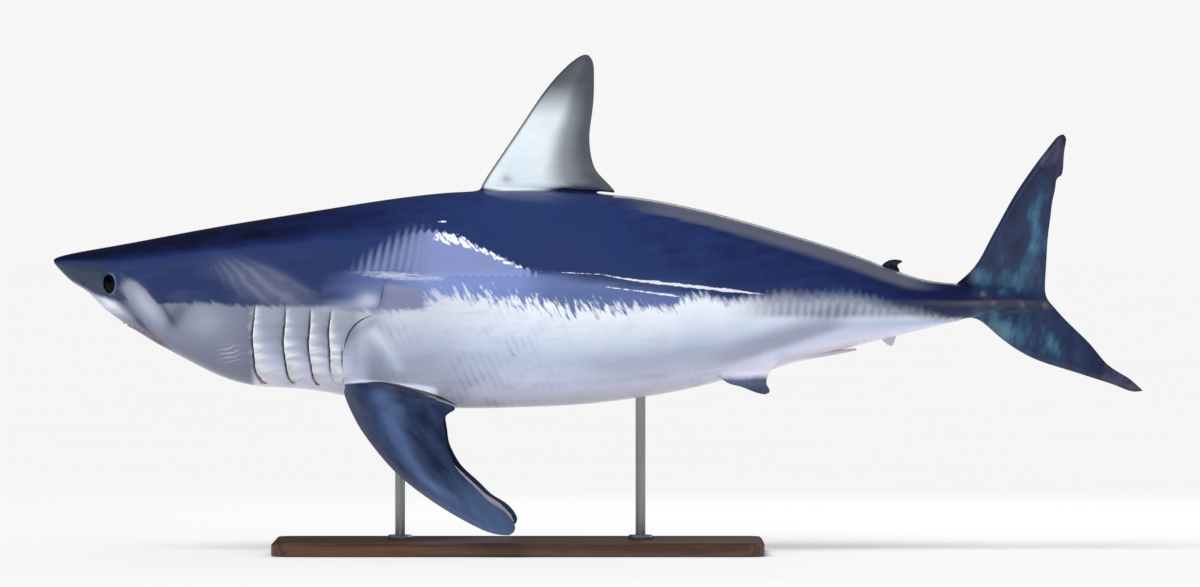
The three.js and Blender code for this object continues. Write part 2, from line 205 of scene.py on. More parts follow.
# %% [markdown]
# The tail fin isn't a separate plate stuck on: the columns of the body fan out and become it. Each one runs
# from the tail stalk to a place on the fin's rear edge. A Coons patch does that: it fills the space between
# four edge curves, here the stalk, the two leading edges and the forked rear edge. A few rounds of relaxing
# then even out its cells, which would fold over beside the fork. The patch gives the side view; the
# thickness is the larger of the tapering body's and the fin's, with a soft change between them.

# %% The tail fin as a patch of the same skin
TAIL_ROWS = 58
TAIL_TOP = [
    (1843, 575), (1873, 628), (1891, 661), (1921, 715), (1953, 763), (1978, 797), (2000, 825), (2012, 836.5),
    (2019, 838.5),
]
TAIL_REAR = [
    (2019, 838.5), (2024, 833), (2023.5, 817), (2020, 788), (2017.5, 762), (2015, 756), (2009, 752),
    (2004, 736), (1998, 706), (1994, 675), (1989, 636), (1986, 590), (1984, 556), (1983, 535), (1984, 520),
    (1989, 507), (1998, 496), (2013, 479), (2050, 442), (2080, 411), (2106, 380), (2128, 364), (2150, 351),
    (2169, 335), (2179, 325.5),
]
TAIL_BOTTOM = [
    (1838, 471), (1877, 446), (1913, 417), (1958, 391), (2032, 366), (2087, 348.5), (2131, 333.5),
    (2165, 323.5), (2179, 325.5),
]


def curve(points):
    """Smooth plane curve through points, read from 0 to 1 along its length."""
    p = np.array(points, float)
    run = np.concatenate([[0], np.cumsum(np.linalg.norm(np.diff(p, axis=0), axis=1))])
    run = run / run[-1]
    along, up = (spline(list(zip(run, p[:, k]))) for k in (0, 1))
    return lambda t: np.stack([along(t), up(t)], axis=-1)


def spread(count, crowds):
    """count + 1 shares from 0 to 1, closer together around each (place, width, strength)."""
    fine = np.linspace(0, 1, 2001)
    weight = 1 + sum(strength * hump(fine, place, width) for place, width, strength in crowds)
    total = np.concatenate([[0], np.cumsum((weight[1:] + weight[:-1]) / 2)])
    return np.interp(np.linspace(0, 1, count + 1), total / total[-1], fine)


def coons(stalk, top, bottom, rear, t):
    """Rows of (s, z) from the stalk's points to the rear's, between a top and a bottom curve."""
    w = np.linspace(0, 1, len(stalk))[None, :, None]
    t = t[:, None, None]
    across = (1 - t) * stalk[None] + t * rear[None]
    along = (1 - w) * top[:, None] + w * bottom[:, None]
    corners = (1 - t) * ((1 - w) * stalk[0] + w * stalk[-1]) + t * ((1 - w) * rear[0] + w * rear[-1])
    return across + along - corners


def body_half(s, z):
    """Half width of the body at a height, 0 above and below it; with the keel."""
    level = widest(s)
    c = np.where(z > level, (z - level) / (back(s) - level), (level - z) / (level - belly(s)))
    n = np.where(z > level, 2.0, fullness(s))
    inside = np.clip(1 - np.clip(c, 0, 1) ** n, 0, 1) ** (1 / n)
    return half_width(s) * inside + keel_width(s) * hump(z, KEEL_HEIGHT, 9) * (c < 1)


def relax(p, rounds):
    """Evens out a grid of plane points inside its fixed edges; unlike plain averaging it can't fold."""
    p = p.copy()
    for _ in range(rounds):
        ahead, behind, right, left = p[2:, 1:-1], p[:-2, 1:-1], p[1:-1, 2:], p[1:-1, :-2]
        d_row, d_col = (ahead - behind) / 2, (right - left) / 2
        a = (d_col**2).sum(-1, keepdims=True)
        b = (d_row * d_col).sum(-1, keepdims=True)
        c = (d_row**2).sum(-1, keepdims=True)
        cross = (p[2:, 2:] - p[2:, :-2] - p[:-2, 2:] + p[:-2, :-2]) / 4
        p[1:-1, 1:-1] = (a * (ahead + behind) + c * (right + left) - 2 * b * cross) / (2 * (a + c))
    return p


stalk = np.stack([S_GRID[-1], BODY[-1, :, 2]], axis=-1)
rows_t = np.linspace(0, 1, TAIL_ROWS + 1)
top_edge = curve([tuple(stalk[0])] + TAIL_TOP)(rows_t)
bottom_edge = curve([tuple(stalk[-1])] + TAIL_BOTTOM)(rows_t)
rear_edge = curve(TAIL_REAR)(spread(COLUMNS, [(0.13, 0.04, 2.5), (0.53, 0.05, 1.2), (0, 0.03, 1)]))
flat = relax(coons(stalk, top_edge, bottom_edge, rear_edge, rows_t), 120)
from_top = np.linalg.norm(flat - top_edge[:, None], axis=-1)
from_bottom = np.linalg.norm(flat - bottom_edge[:, None], axis=-1)
from_edge = np.minimum(np.minimum(from_top, from_bottom), 24) / 24
plate = (6.2 * (1 - rows_t**1.6) + 0.7)[:, None] * np.sqrt(1 - (1 - from_edge) ** 2)
plate *= rise(0, 0.06, rows_t)[:, None]
half = np.hypot(body_half(flat[..., 0], flat[..., 1]), plate)
half[:, [0, -1]] = 0
TAIL = np.stack([SNOUT_X + flat[..., 0], -half, flat[..., 1]], axis=-1)[1:]
closing = TAIL[-1:] * [1, 0, 1]
turns = np.cross(np.diff(flat, axis=0)[:, :-1], np.diff(flat, axis=1)[:-1])
print("tail patch", TAIL.shape, "folded cells:", int((turns * np.sign(np.median(turns)) <= 0).sum()))

# %% [markdown]
# Every fin is described by ribs, seen from the side: where the rib's front and rear ends are. The section
# of each rib is a foil, round in front and thin behind. A fin's ring has as many points as the hole cut for
# it in the body grid, so that the two can be joined row by row with quads.

# %% Fin sections
FRONT_SHARE, REAR_SHARE = 0.03, 0.985
# A classic symmetric foil: factors of the chord share's root and of its first four powers.
FOIL = (0.2969, -0.126, -0.3516, 0.2843, -0.1036)


def foil(share, chord, thickness, edge):
    """Half thickness of a fin's section at a share of its chord."""
    share = np.clip(share, 0, 1)
    powers = (np.sqrt(share), share, share**2, share**3, share**4)
    form = sum(factor * power for factor, power in zip(FOIL, powers))
    return np.maximum(5 * thickness * chord * form, edge / 2 * rise(0, 0.02, share))


def half_ring(side_cells, end_cells):
    """(share, which side) of the left half of a section: front edge, side, rear edge."""
    front = FRONT_SHARE * (np.arange(end_cells) / end_cells) ** 2
    side = np.linspace(FRONT_SHARE, REAR_SHARE, side_cells + 1)
    to_rear = np.arange(1, end_cells + 1) / end_cells
    rear = 1 - (1 - REAR_SHARE) * (1 - to_rear) ** 2
    share = np.concatenate([front, side, rear])
    face = np.concatenate([np.ones(len(share) - end_cells), np.sqrt(1 - to_rear**2)])
    face[0] = 0
    return share, face


def full_ring(side_cells, end_cells):
    """(share, which side) all round: along the outer side, round the rear edge, back along the inner side."""
    side = np.linspace(FRONT_SHARE, REAR_SHARE, side_cells + 1)
    turn = np.pi * np.arange(1, end_cells) / end_cells
    share = np.concatenate([
        side, REAR_SHARE + (1 - REAR_SHARE) * np.sin(turn), side[::-1], FRONT_SHARE * (1 - np.sin(turn)),
    ])
    face = np.concatenate([
        np.ones(side_cells + 1), np.cos(turn), -np.ones(side_cells + 1), -np.cos(turn),
    ])
    face = np.where(share < FRONT_SHARE, np.sign(np.round(face, 6)), face)
    return share, face


def fin_rings(fin, ring):
    """Rows of points round the fin, from its root ring to its tip."""
    ribs = np.array(fin["ribs"], float)
    steps = np.linalg.norm(np.diff(ribs.reshape(-1, 2, 2), axis=0), axis=2).sum(axis=1)
    run = np.concatenate([[0], np.cumsum(steps)])
    places = run[-1] * spread(fin["rows"], fin.get("crowds", [(1, 0.04, 2)]))
    ends = [spline(list(zip(run, ribs[:, k])))(places)[:, None] for k in range(4)]
    front_s, front_z, rear_s, rear_z = ends
    share, face = ring
    chord = np.hypot(rear_s - front_s, rear_z - front_z)
    across = face * foil(share[None], chord, fin["thickness"], fin["edge"])
    return fin["place"](front_s + (rear_s - front_s) * share, front_z + (rear_z - front_z) * share, across)


def upright(s, z, across):
    return np.stack([SNOUT_X + s, -across, z], axis=-1)


def drooping(root_s, root_z, root_y, spread_out, curl, turn):
    """Places a paired fin: the further below its root, the further out, less so towards the tip."""

    def place(s, z, across):
        depth = root_z - z
        slope = spread_out - 2 * curl * depth
        long = np.hypot(1, slope)
        aside = root_y - turn * (s - root_s) + depth * (spread_out - curl * depth)
        return np.stack([SNOUT_X + s, -(aside + across / long), z + across * slope / long], axis=-1)

    return place


# %% [markdown]
# The sizes of the fins. A mako's first dorsal fin is tall and stiff, its second dorsal and anal fins are
# tiny, and the pectoral fins are shorter than the head. The pectorals droop and curl, as they do on a
# gliding shark.

# %% The fins' ribs: front s, front z, rear s, rear z in millimetres
FIRST_DORSAL = dict(
    thickness=0.105, edge=1.6, rows=40, place=upright, crowds=[(0, 0.06, 3), (1, 0.05, 2.5)],
    ribs=[
        (856, 735, 1087, 723.5), (860, 741.5, 1112, 723), (865, 750, 1123, 722), (870, 758, 1112, 737),
        (882, 776, 1088, 762), (905, 810, 1075.5, 794), (934, 853, 1072, 838), (965, 900, 1078, 886),
        (996, 942, 1081, 930), (1025, 973, 1081, 962), (1046, 990, 1079, 982), (1058, 996.5, 1074, 992),
        (1063, 998, 1070, 996.5),
    ],
)
SECOND_DORSAL = dict(
    thickness=0.15, edge=1.2, rows=18, place=upright,
    ribs=[
        (1655, 574.5, 1693, 567), (1658, 578, 1689.5, 571.5), (1662, 581.5, 1688, 575.5),
        (1667, 584.5, 1691, 579.5), (1673, 587, 1697, 583), (1680, 588, 1696, 585.8),
        (1686, 588, 1692, 587.2),
    ],
)
ANAL = dict(
    thickness=0.15, edge=1.2, rows=12, place=upright,
    ribs=[
        (1656, 429, 1685, 433), (1659, 425, 1684, 430), (1664, 421, 1683, 427), (1669, 417, 1681, 421),
        (1674, 415, 1679, 417),
    ],
)
PECTORAL = dict(
    thickness=0.12, edge=1.6, rows=52,
    place=drooping(root_s=583, root_z=340, root_y=82, spread_out=0.75, curl=0.0007, turn=0.05),
    crowds=[(0, 0.05, 2), (1, 0.04, 2.5)],
    ribs=[
        (583, 326, 768, 308), (586, 315, 795, 300), (590, 305, 806, 293), (597, 290, 789, 281),
        (612, 262, 784, 252), (629, 237, 787, 226), (662, 196, 794, 204), (701, 157, 812, 172),
        (751, 119, 847, 138), (803, 86, 876, 110), (850, 61, 904, 92), (885, 48, 923, 69),
        (905, 45.5, 925, 57), (914, 45.5, 922, 51),
    ],
)
PELVIC = dict(
    thickness=0.12, edge=1.3, rows=22,
    place=drooping(root_s=1346, root_z=372, root_y=45, spread_out=0.85, curl=0, turn=0.04),
    ribs=[
        (1331, 353, 1438, 371), (1340, 347.5, 1433, 365), (1350, 342, 1429, 359), (1372, 336, 1425, 347),
        (1398, 326, 1427, 336), (1414, 321.5, 1431, 328), (1422, 320.5, 1430, 324),
    ],
)

# %% [markdown]
# Now the grid gets its holes. A fin on the plane of symmetry needs half a hole, a paired fin or an eye a
# whole one. Between the hole's edge and the fin's first ring a few rows follow a Bezier curve that leaves
# along the body and arrives along the fin: that is the soft fillet where flesh runs up into the fin.

# %% Grid, holes and grafts
GRID = np.concatenate([BODY, TAIL, closing])
points = [GRID.reshape(-1, 3)]
quads = []
taken = np.zeros((GRID.shape[0] - 1, GRID.shape[1] - 1), bool)
PER_ROW = COLUMNS + 1


def nearest(s):
    return int(np.argmin(np.abs(STATIONS - s)))


LOOPS = []


def hole(i0, i1, j0, j1):
    """Removes grid cells and returns the hole's edge as indices of grid points."""
    taken[i0:i1, j0:j1] = True
    rows, columns = list(range(i0, i1 + 1)), list(range(j0, j1 + 1))
    if j0 == 0:
        steps = [(i0, j) for j in columns[:-1]] + [(i, j1) for i in rows] + [(i1, j) for j in columns[-2::-1]]
    elif j1 == COLUMNS:
        steps = [(i0, j) for j in columns[:0:-1]] + [(i, j0) for i in rows] + [(i1, j) for j in columns[1:]]
    else:
        steps = [(i, j0) for i in rows] + [(i1, j) for j in columns[1:-1]]
        steps += [(i, j1) for i in rows[::-1]] + [(i0, j) for j in columns[-2:0:-1]]
    LOOPS.append(np.array([i * PER_ROW + j for i, j in steps]))
    return LOOPS[-1]


def graft(edge, rings, closed, from_back=False):
    """Adds rows of points that continue a loop of existing ones, with quads between the rows.

    A loop that starts on the back runs the other way round, so its quads are turned to face outwards too.
    """
    count = len(edge)
    start = sum(len(p) for p in points)
    points.append(rings.reshape(-1, 3))
    before = edge
    for k in range(len(rings)):
        after = start + k * count + np.arange(count)
        a, b = (before, after) if closed else (before[:-1], after[:-1])
        c, d = (np.roll(after, -1), np.roll(before, -1)) if closed else (after[1:], before[1:])
        quads.append(np.stack([a, b, c, d] if from_back else [d, c, b, a], axis=-1))
        before = after
    return start, count * len(rings)


def grid_normals():
    along = np.gradient(GRID, axis=0)
    round_ = np.gradient(GRID, axis=1)
    n = np.cross(along, round_)
    n[:, [0, -1], 1] = 0
    return (n / np.maximum(np.linalg.norm(n, axis=-1, keepdims=True), 1e-9)).reshape(-1, 3)


NORMALS = grid_normals()


def fillet(edge, rings, rows, reach, closed):
    """Rows between a hole's edge and a fin's root ring."""
    base, root = GRID.reshape(-1, 3)[edge], rings[0]
    gap = root - base
    span = np.linalg.norm(gap, axis=-1, keepdims=True)
    n = NORMALS[edge]
    leave = gap - (gap * n).sum(axis=-1, keepdims=True) * n
    leave /= np.maximum(np.linalg.norm(leave, axis=-1, keepdims=True), 1e-6)
    arrive = rings[1] - rings[0]
    arrive /= np.maximum(np.linalg.norm(arrive, axis=-1, keepdims=True), 1e-6)
    first, second = base + leave * span * reach, root - arrive * span * reach
    t = (np.arange(1, rows + 1) / (rows + 1))[:, None, None]
    rows_ = (1 - t) ** 3 * base + 3 * t * (1 - t) ** 2 * first + 3 * t**2 * (1 - t) * second + t**3 * root
    if not closed:
        rows_[:, [0, -1], 1] = 0
    return rows_


def grow_fin(fin, i0, i1, j0, j1, rows=5, reach=0.42):
    """Cuts the hole, makes the fin's rings to suit and joins both. Returns the new points' range."""
    closed = 0 < j0 and j1 < COLUMNS
    edge = hole(i0, i1, j0, j1)
    ring = full_ring(i1 - i0, j1 - j0) if closed else half_ring(i1 - i0, j1 - j0)
    if closed:
        assert len(ring[0]) == len(edge), (len(ring[0]), len(edge))
    rings = fin_rings(fin, ring)
    if closed:
        shut = (rings[-1] + np.roll(rings[-1][::-1], i1 - i0 + 1, axis=0)) / 2
    else:
        rings[:, [0, -1], 1] = 0
        shut = rings[-1] * [1, 0, 1]
    join = fillet(edge, rings, rows, reach, closed)
    return graft(edge, np.concatenate([join, rings, shut[None]]), closed, from_back=j0 == 0)


PARTS = {}
PARTS["first_dorsal"] = grow_fin(FIRST_DORSAL, nearest(845), nearest(1097), 0, 3)
PARTS["second_dorsal"] = grow_fin(SECOND_DORSAL, nearest(1649), nearest(1692), 0, 2, rows=3)
PARTS["anal"] = grow_fin(ANAL, nearest(1650), nearest(1691), COLUMNS - 2, COLUMNS, rows=3)
PARTS["pectoral"] = grow_fin(PECTORAL, nearest(577), nearest(773), 56, 61, rows=6)
PARTS["pelvic"] = grow_fin(PELVIC, nearest(1330), nearest(1446), 60, 65, rows=4)

# A male has a clasper behind each pelvic fin: a soft rod that leaves the belly and trails backwards.
CLASPER_PATH = [
    (1428, 373, 25), (1434, 373, 24.5), (1446, 376.5, 23.5), (1490, 389, 19), (1550, 400, 15.5),
    (1604, 408, 14),
]
CLASPER_RADIUS = [(0, 8), (0.12, 5.5), (0.5, 4.6), (0.85, 3.6), (1, 2.2)]
CLASPER_ROWS = 26


def grow_clasper():
    """A tube grafted on like a fin, with its rings square to a curved path."""
    j0, j1 = 67, 70
    edge = hole(nearest(1417), nearest(1439), j0, j1)
    rim = GRID.reshape(-1, 3)[edge]
    from_middle = rim - rim.mean(axis=0)
    from_middle = from_middle / np.ptp(rim, axis=0)
    turn = np.arctan2(from_middle[:, 1], from_middle[:, 0])[None, :, None]
    share = np.linspace(0, 1, CLASPER_ROWS)
    p = np.array(CLASPER_PATH, float)
    run = np.concatenate([[0], np.cumsum(np.linalg.norm(np.diff(p, axis=0), axis=1))])
    s, z, aside = (spline(list(zip(run / run[-1], p[:, k])))(share) for k in range(3))
    centre = np.stack([SNOUT_X + s, -aside, z], axis=-1)
    ahead = np.gradient(centre, axis=0)
    ahead /= np.linalg.norm(ahead, axis=1, keepdims=True)
    up = np.stack([-ahead[:, 2], 0 * s, ahead[:, 0]], axis=-1)
    radius = spline(CLASPER_RADIUS)(share)[:, None, None]
    rings = centre[:, None] + radius * (np.cos(turn) * up[:, None] + np.sin(turn) * np.array([0, 1.0, 0]))
    tip_ring = centre[-1] + 0.75 * (rings[-1] - centre[-1]) + 1.4 * ahead[-1]
    tip = np.repeat((centre[-1] + 2.2 * ahead[-1])[None], len(edge), axis=0)
    join = fillet(edge, rings, rows=3, reach=0.3, closed=True)
    return graft(edge, np.concatenate([join, rings, tip_ring[None], tip[None]]), closed=True)


PARTS["clasper"] = grow_clasper()
for name, (first_point, count) in PARTS.items():
    print(name, count, "points")

# %% [markdown]
# The eye opening is a graft too. Its rows change from the square hole in the grid to an upright oval, rise
# a little to make the lid's edge, and then dive under it to form the socket. The eyeball sits in there as a
# piece of its own. Sharks of this family have no third eyelid, so a plain rim is right.

# %% The eye openings
EYE_S, EYE_Z = 114.0, 540.0
EYE_LONG, EYE_TALL, EYE_LEAN = 12.3, 19.6, math.radians(6)


def on_side(s, z, proud):
    """A point of the left side, pushed out of the skin by proud millimetres."""
    return np.stack([SNOUT_X + s, -(body_half(s, z) + proud), z], axis=-1)


def eye_oval(turn, scale):
    along, up = scale * EYE_LONG * np.cos(turn), scale * EYE_TALL * np.sin(turn)
    lean_c, lean_s = math.cos(EYE_LEAN), math.sin(EYE_LEAN)
    return EYE_S + along * lean_c - up * lean_s, EYE_Z + along * lean_s + up * lean_c


eye_row = nearest(EYE_S)
eye_columns = np.where(np.abs(BODY[eye_row, :, 2] - EYE_Z) < 26.5)[0]
eye_edge = hole(nearest(EYE_S - 18.5), nearest(EYE_S + 18.5), eye_columns[0], eye_columns[-1])
edge_s, edge_z = GRID.reshape(-1, 3)[eye_edge][:, 0] - SNOUT_X, GRID.reshape(-1, 3)[eye_edge][:, 2]
turn = np.arctan2((edge_z - EYE_Z) / EYE_TALL, (edge_s - EYE_S) / EYE_LONG) - EYE_LEAN
oval_s, oval_z = eye_oval(turn, 1.0)
eye_rings = []
for share in (0.28, 0.52, 0.72, 0.87, 0.96):
    row_s, row_z = edge_s + share * (oval_s - edge_s), edge_z + share * (oval_z - edge_z)
    eye_rings.append(on_side(row_s, row_z, 0.9 * share**3))
# The rim and the socket: size of each oval, and how far it stands out of the skin.
for scale, proud in (
    (1.0, 1.1), (0.97, 0.9), (0.945, -0.2), (0.935, -2), (0.93, -5), (0.8, -9), (0.4, -11), (0.0, -11.5),
):
    eye_rings.append(on_side(*eye_oval(turn, scale), proud))
PARTS["eye_socket"] = graft(eye_edge, np.array(eye_rings), closed=True)
print("eye opening", 2 * EYE_LONG, "by", 2 * EYE_TALL, "mm with", len(eye_edge), "points round it")

# %% [markdown]
# The half skin is now put together: the grid cells that no hole took, the snout's tip, and the grafts. Its
# mirror image makes the right side. Points on the plane of symmetry are shared, so the skin closes there.

# %% Assemble the half and mirror it
i, j = np.where(~taken)
cell_start = i * PER_ROW + j
cells = np.stack([cell_start, cell_start + PER_ROW, cell_start + PER_ROW + 1, cell_start + 1], axis=-1)
half_points = np.concatenate(points)
tip = len(half_points)
half_points = np.concatenate([half_points, [[SNOUT_X + 0.7, 0, 586.0]]])
tip_cells = np.array([[tip, k, k + 1, k + 1] for k in range(COLUMNS)])
half_quads = np.concatenate([cells] + quads + [tip_cells])

middle = np.abs(half_points[:, 1]) < 1e-6
mirror_of = np.arange(len(half_points))
mirror_of[~middle] = len(half_points) + np.arange((~middle).sum())
skin_points = np.concatenate([half_points, half_points[~middle] * [1, -1, 1]])
skin_quads = np.concatenate([half_quads, mirror_of[half_quads][:, ::-1]])
print(len(skin_points), "points,", len(skin_quads), "faces")


def soften(p, faces, start, reach, rounds):
    """Averages points with their neighbours, fully at the start points, less for reach rings round them."""
    edges = np.concatenate([faces[:, [k, (k + 1) % 4]] for k in range(4)])
    edges = edges[edges[:, 0] != edges[:, 1]]
    weight = np.zeros(len(p))
    weight[start] = 1
    for _ in range(reach):
        wider = weight.copy()
        np.maximum.at(wider, edges[:, 0], weight[edges[:, 1]] - 1 / reach)
        weight = wider
    count = np.bincount(edges[:, 0], minlength=len(p))[:, None]
    for _ in range(rounds):
        total = np.stack([np.bincount(edges[:, 0], p[edges[:, 1], k], len(p)) for k in range(3)], axis=-1)
        p = p + 0.5 * weight[:, None] * (total / np.maximum(count, 1) - p)
    return p


def point_normals(p, faces):
    """Area-weighted normals of the points of a quad mesh."""
    a, b, c, d = (p[faces[:, k]] for k in range(4))
    face_normals = np.cross(c - a, d - b)
    total = np.zeros_like(p)
    for k in range(4):
        np.add.at(total, faces[:, k], face_normals)
    return total / np.maximum(np.linalg.norm(total, axis=1, keepdims=True), 1e-12)


# The corners of the fins' holes are rounded off on both sides.
loop_points = np.concatenate(LOOPS[:-1])
all_edges_both_ways = np.concatenate([skin_quads, skin_quads[:, ::-1]])
on_plane = np.abs(skin_points[:, 1]) < 1e-6
hole_edges = np.concatenate([loop_points, mirror_of[loop_points]])
skin_points = soften(skin_points, all_edges_both_ways, hole_edges, reach=8, rounds=22)
pectoral_rear = [k for k in LOOPS[3] if half_points[k, 0] - SNOUT_X > 735]
rear_corner = np.concatenate([pectoral_rear, mirror_of[pectoral_rear]])
skin_points = soften(skin_points, all_edges_both_ways, rear_corner, reach=9, rounds=60)
skin_points[on_plane, 1] = 0

# Which part of the shark each point belongs to, the same on both sides.
part_of = np.zeros(len(half_points), int)
PART_NAMES = ["body"] + list(PARTS)
for number, (first_point, count) in enumerate(PARTS.values(), start=1):
    part_of[first_point : first_point + count] = number
part_of = np.concatenate([part_of, part_of[~middle]])


def part(name):
    return part_of == PART_NAMES.index(name)


# %% [markdown]
# ## Relief
# The fine forms are pushed into or out of the plain skin, along its normal. Each is a small function of
# where a point lies: the gill slits with their raised lips, the mouth, the nostrils, the jaw muscle behind
# the eye and the creases round it. Sizes are in millimetres, outwards positive.

# %% Coordinates for the relief
along = skin_points[:, 0] - SNOUT_X
height = skin_points[:, 2]
aside = np.abs(skin_points[:, 1])
on_body = part("body") | part("eye_socket")


def angle_round(s, z):
    """The angle from the back, 0 to 180 degrees, of a point of the plain skin."""
    level = widest(s)
    above = z > level
    c = np.clip(np.where(above, (z - level) / (back(s) - level), (level - z) / (level - belly(s))), 0, 1)
    n = np.where(above, 2.0, fullness(s))
    w = np.clip(1 - c**n, 0, 1) ** (1 / n)
    return np.degrees(np.arctan2(w, np.where(above, c, -c)))


angle = angle_round(np.clip(along, 1, 1970), height)
print("points on the body:", int(on_body.sum()), "of", len(on_body))


# %% Shapes that fade in and out
def between(a, b, c, d, at):
    """0 before a, 1 from b to c and 0 after d, with smooth slopes."""
    return rise(a, b, at) * (1 - rise(c, d, at))


def profile(at, *pairs):
    """Straight lines through (place, value) pairs."""
    places, values = zip(*pairs)
    return np.interp(at, places, values)


def axes_at(s0, z0, slope):
    """Distances along and across a line that leaves a place on the side at so many degrees."""
    c, w = math.cos(math.radians(slope)), math.sin(math.radians(slope))
    return (along - s0) * c + (height - z0) * w, -(along - s0) * w + (height - z0) * c


def blob(s0, z0, long, tall, slope=0.0):
    """1 at a place on the side, fading out over an oval that may slope."""
    a, b = axes_at(s0, z0, slope)
    return np.exp(-((a / long) ** 2) - (b / tall) ** 2)


def oval_distance(s0, z0, long, tall, slope):
    """Roughly the distance in mm outside a sloping oval on the side, negative inside."""
    a, b = axes_at(s0, z0, slope)
    return (np.hypot(a / long, b / tall) - 1) * tall


def fold(start, end, width):
    """1 along a straight fold on the side, fading at its ends."""
    length = math.dist(start, end)
    a, b = axes_at(*start, math.degrees(math.atan2(end[1] - start[1], end[0] - start[0])))
    return hump(b, 0, width) * between(-8, 16, length - 16, length + 8, a)


def total(shape, rows):
    """The sum of one kind of shape over rows of (strength, sizes)."""
    return sum(strength * shape(*sizes) for strength, *sizes in rows)


# %% [markdown]
# A gill slit is a groove with a soft flap ahead of it and the raised lip of the next gill arch behind it.
# The lower ends of the first slits stand open and show flesh. The same loop notes where the lips shine and
# where the skin falls into shade, for the colours later: a painted highlight on the lips and painted shade in
# the hollows.

# %% Gill slits: top and end in degrees from the back, opening and the painted shade's reach in mm, and the painted highlight's shine
SLITS = (
    (93, 158, 15, 16, 1), (93, 156, 9, 10, 1), (94, 154, 8, 9, 1), (95, 149, 0, 9, 1), (117, 139, 0, 7, 0.4),
)
unbowed = along - slit_bow(along, angle)
relief, slit_shade, lip_highlight, hollow_shade = np.zeros((4, len(skin_points)))
flesh = np.full(len(skin_points), -8.0)
for slit, (top, end, gaping, shade_reach, shine) in zip(GILL_SLITS, SLITS):
    d = unbowed - slit - 1.1 * np.sin(angle * 0.22 + slit) - 0.35 * np.sin(angle * 0.9 + 2 * slit)
    span = between(top - 2, top + 7, end - 8, end + 2, angle)
    behind, ahead = np.clip(d, 0, None), np.clip(-d, 0, None)
    crinkle = 1 + 0.16 * np.sin(height * 2 * np.pi / 19 + slit) * rise(2, 8, behind)
    lip = 5.4 * rise(0.2, 2.6, d) * np.exp(-behind / 17) * crinkle
    flap = -2.2 * np.exp(-ahead / 12) * (d < 0)
    wide = 1 + between(top, top + 22, end - 26, end - 8, angle)
    relief += span * (lip + flap - 6.5 * hump(d, 0, 0.3 + wide))
    slit_shade = np.maximum(slit_shade, span * hump(d, 0, wide))
    opening = gaping * np.clip((angle - end + 26) / 24, 0, 1) * (angle < end + 2)
    wedge = np.clip(np.where(opening > 1, np.minimum(d + 1, opening - d), -6), -6, 8)
    flesh = np.maximum(flesh, wedge)
    relief -= 3.5 * rise(0, 2.5, wedge)
    # The lip's painted highlight: a bright line along the slit and glints further behind it, brightest low
    # down.
    lip_highlight_reach = 7 + 20 * rise(top, top + 34, angle)
    glint = 0.62 + 0.38 * np.sin(height * 2 * np.pi / 23 + 1.7 * slit + 0.6 * np.sin(height * 0.11))
    glow = 0.7 * np.exp(-behind / 6) + 0.85 * glint * np.exp(-((behind / lip_highlight_reach) ** 2))
    low_shine = 0.9 + 1.3 * hump(angle, end - 18, 15)
    lip_highlight = np.maximum(lip_highlight, shine * span * low_shine * rise(0.4, 2.0, d) * glow)
    # Painted shade in the hollow ahead of the slit, fading out towards its lower end.
    murk = (0.75 + 0.25 * np.sin(height * 0.24 + slit)) * (1 - 0.95 * rise(end - 34, end - 14, angle))
    hollow_shade = np.maximum(hollow_shade, span * np.exp(-ahead / shade_reach) * (d < 0) * murk)
print("gill relief from", relief.min().round(1), "to", relief.max().round(1), "mm")

# %% [markdown]
# The mouth is a U under the snout. It is drawn in a frame of its own that slopes with the underside of the
# head: along runs back from the front of the jaw and beside runs out to the corners. The distance to the U
# gives the groove between the jaws, the lips on both sides of it and, later, the line of the teeth.

# %% The mouth
MOUTH_S, MOUTH_Z, MOUTH_SLOPE = 148.0, 462.0, math.radians(33)
MOUTH_LONG, MOUTH_HALF, MOUTH_SQUARE = 98.0, 55.0, 3.0
MOUTH_BACK = np.array([math.cos(MOUTH_SLOPE), -math.sin(MOUTH_SLOPE)])
MOUTH_OUT = np.array([-math.sin(MOUTH_SLOPE), -math.cos(MOUTH_SLOPE)])


def mouth_distance(back_along, beside):
    """Signed distance from the line of the mouth, positive outside the U of the lower jaw."""
    u = np.clip(MOUTH_LONG - back_along, 1e-3, None) / (MOUTH_LONG + 3)
    v = np.abs(beside) / (MOUTH_HALF + 3)
    f = (u**MOUTH_SQUARE + v**MOUTH_SQUARE) ** (1 / MOUTH_SQUARE)
    f_u = (u / f) ** (MOUTH_SQUARE - 1) / (MOUTH_LONG + 3)
    f_v = (v / f) ** (MOUTH_SQUARE - 1) / (MOUTH_HALF + 3)
    return (f - 1) / np.maximum(np.hypot(f_u, f_v), 1e-6)


mouth_along = (along - MOUTH_S) * MOUTH_BACK[0] + (height - MOUTH_Z) * MOUTH_BACK[1]
gape = mouth_distance(mouth_along, aside)
under = rise(100, 118, angle) * (along < 300) * (along > 90)
to_corner = 1 - rise(MOUTH_LONG - 16, MOUTH_LONG + 1, mouth_along)
at_corner = between(MOUTH_LONG - 20, MOUTH_LONG - 4, MOUTH_LONG + 2, MOUTH_LONG + 16, mouth_along)
groove = 9 * hump(gape, 0, 2.7) * to_corner
corner_fold = 2.5 * hump(gape, 0, 3.0) * at_corner
jaw_rim = 1.8 * hump(gape, -6, 4) + 1.0 * hump(gape, 6, 4)
relief += under * (jaw_rim * to_corner - groove - corner_fold)
mouth_shade = under * hump(gape, 0, 3.0) * to_corner
print("mouth corner", (MOUTH_S + MOUTH_LONG * MOUTH_BACK[0]).round(), "mm behind the snout")

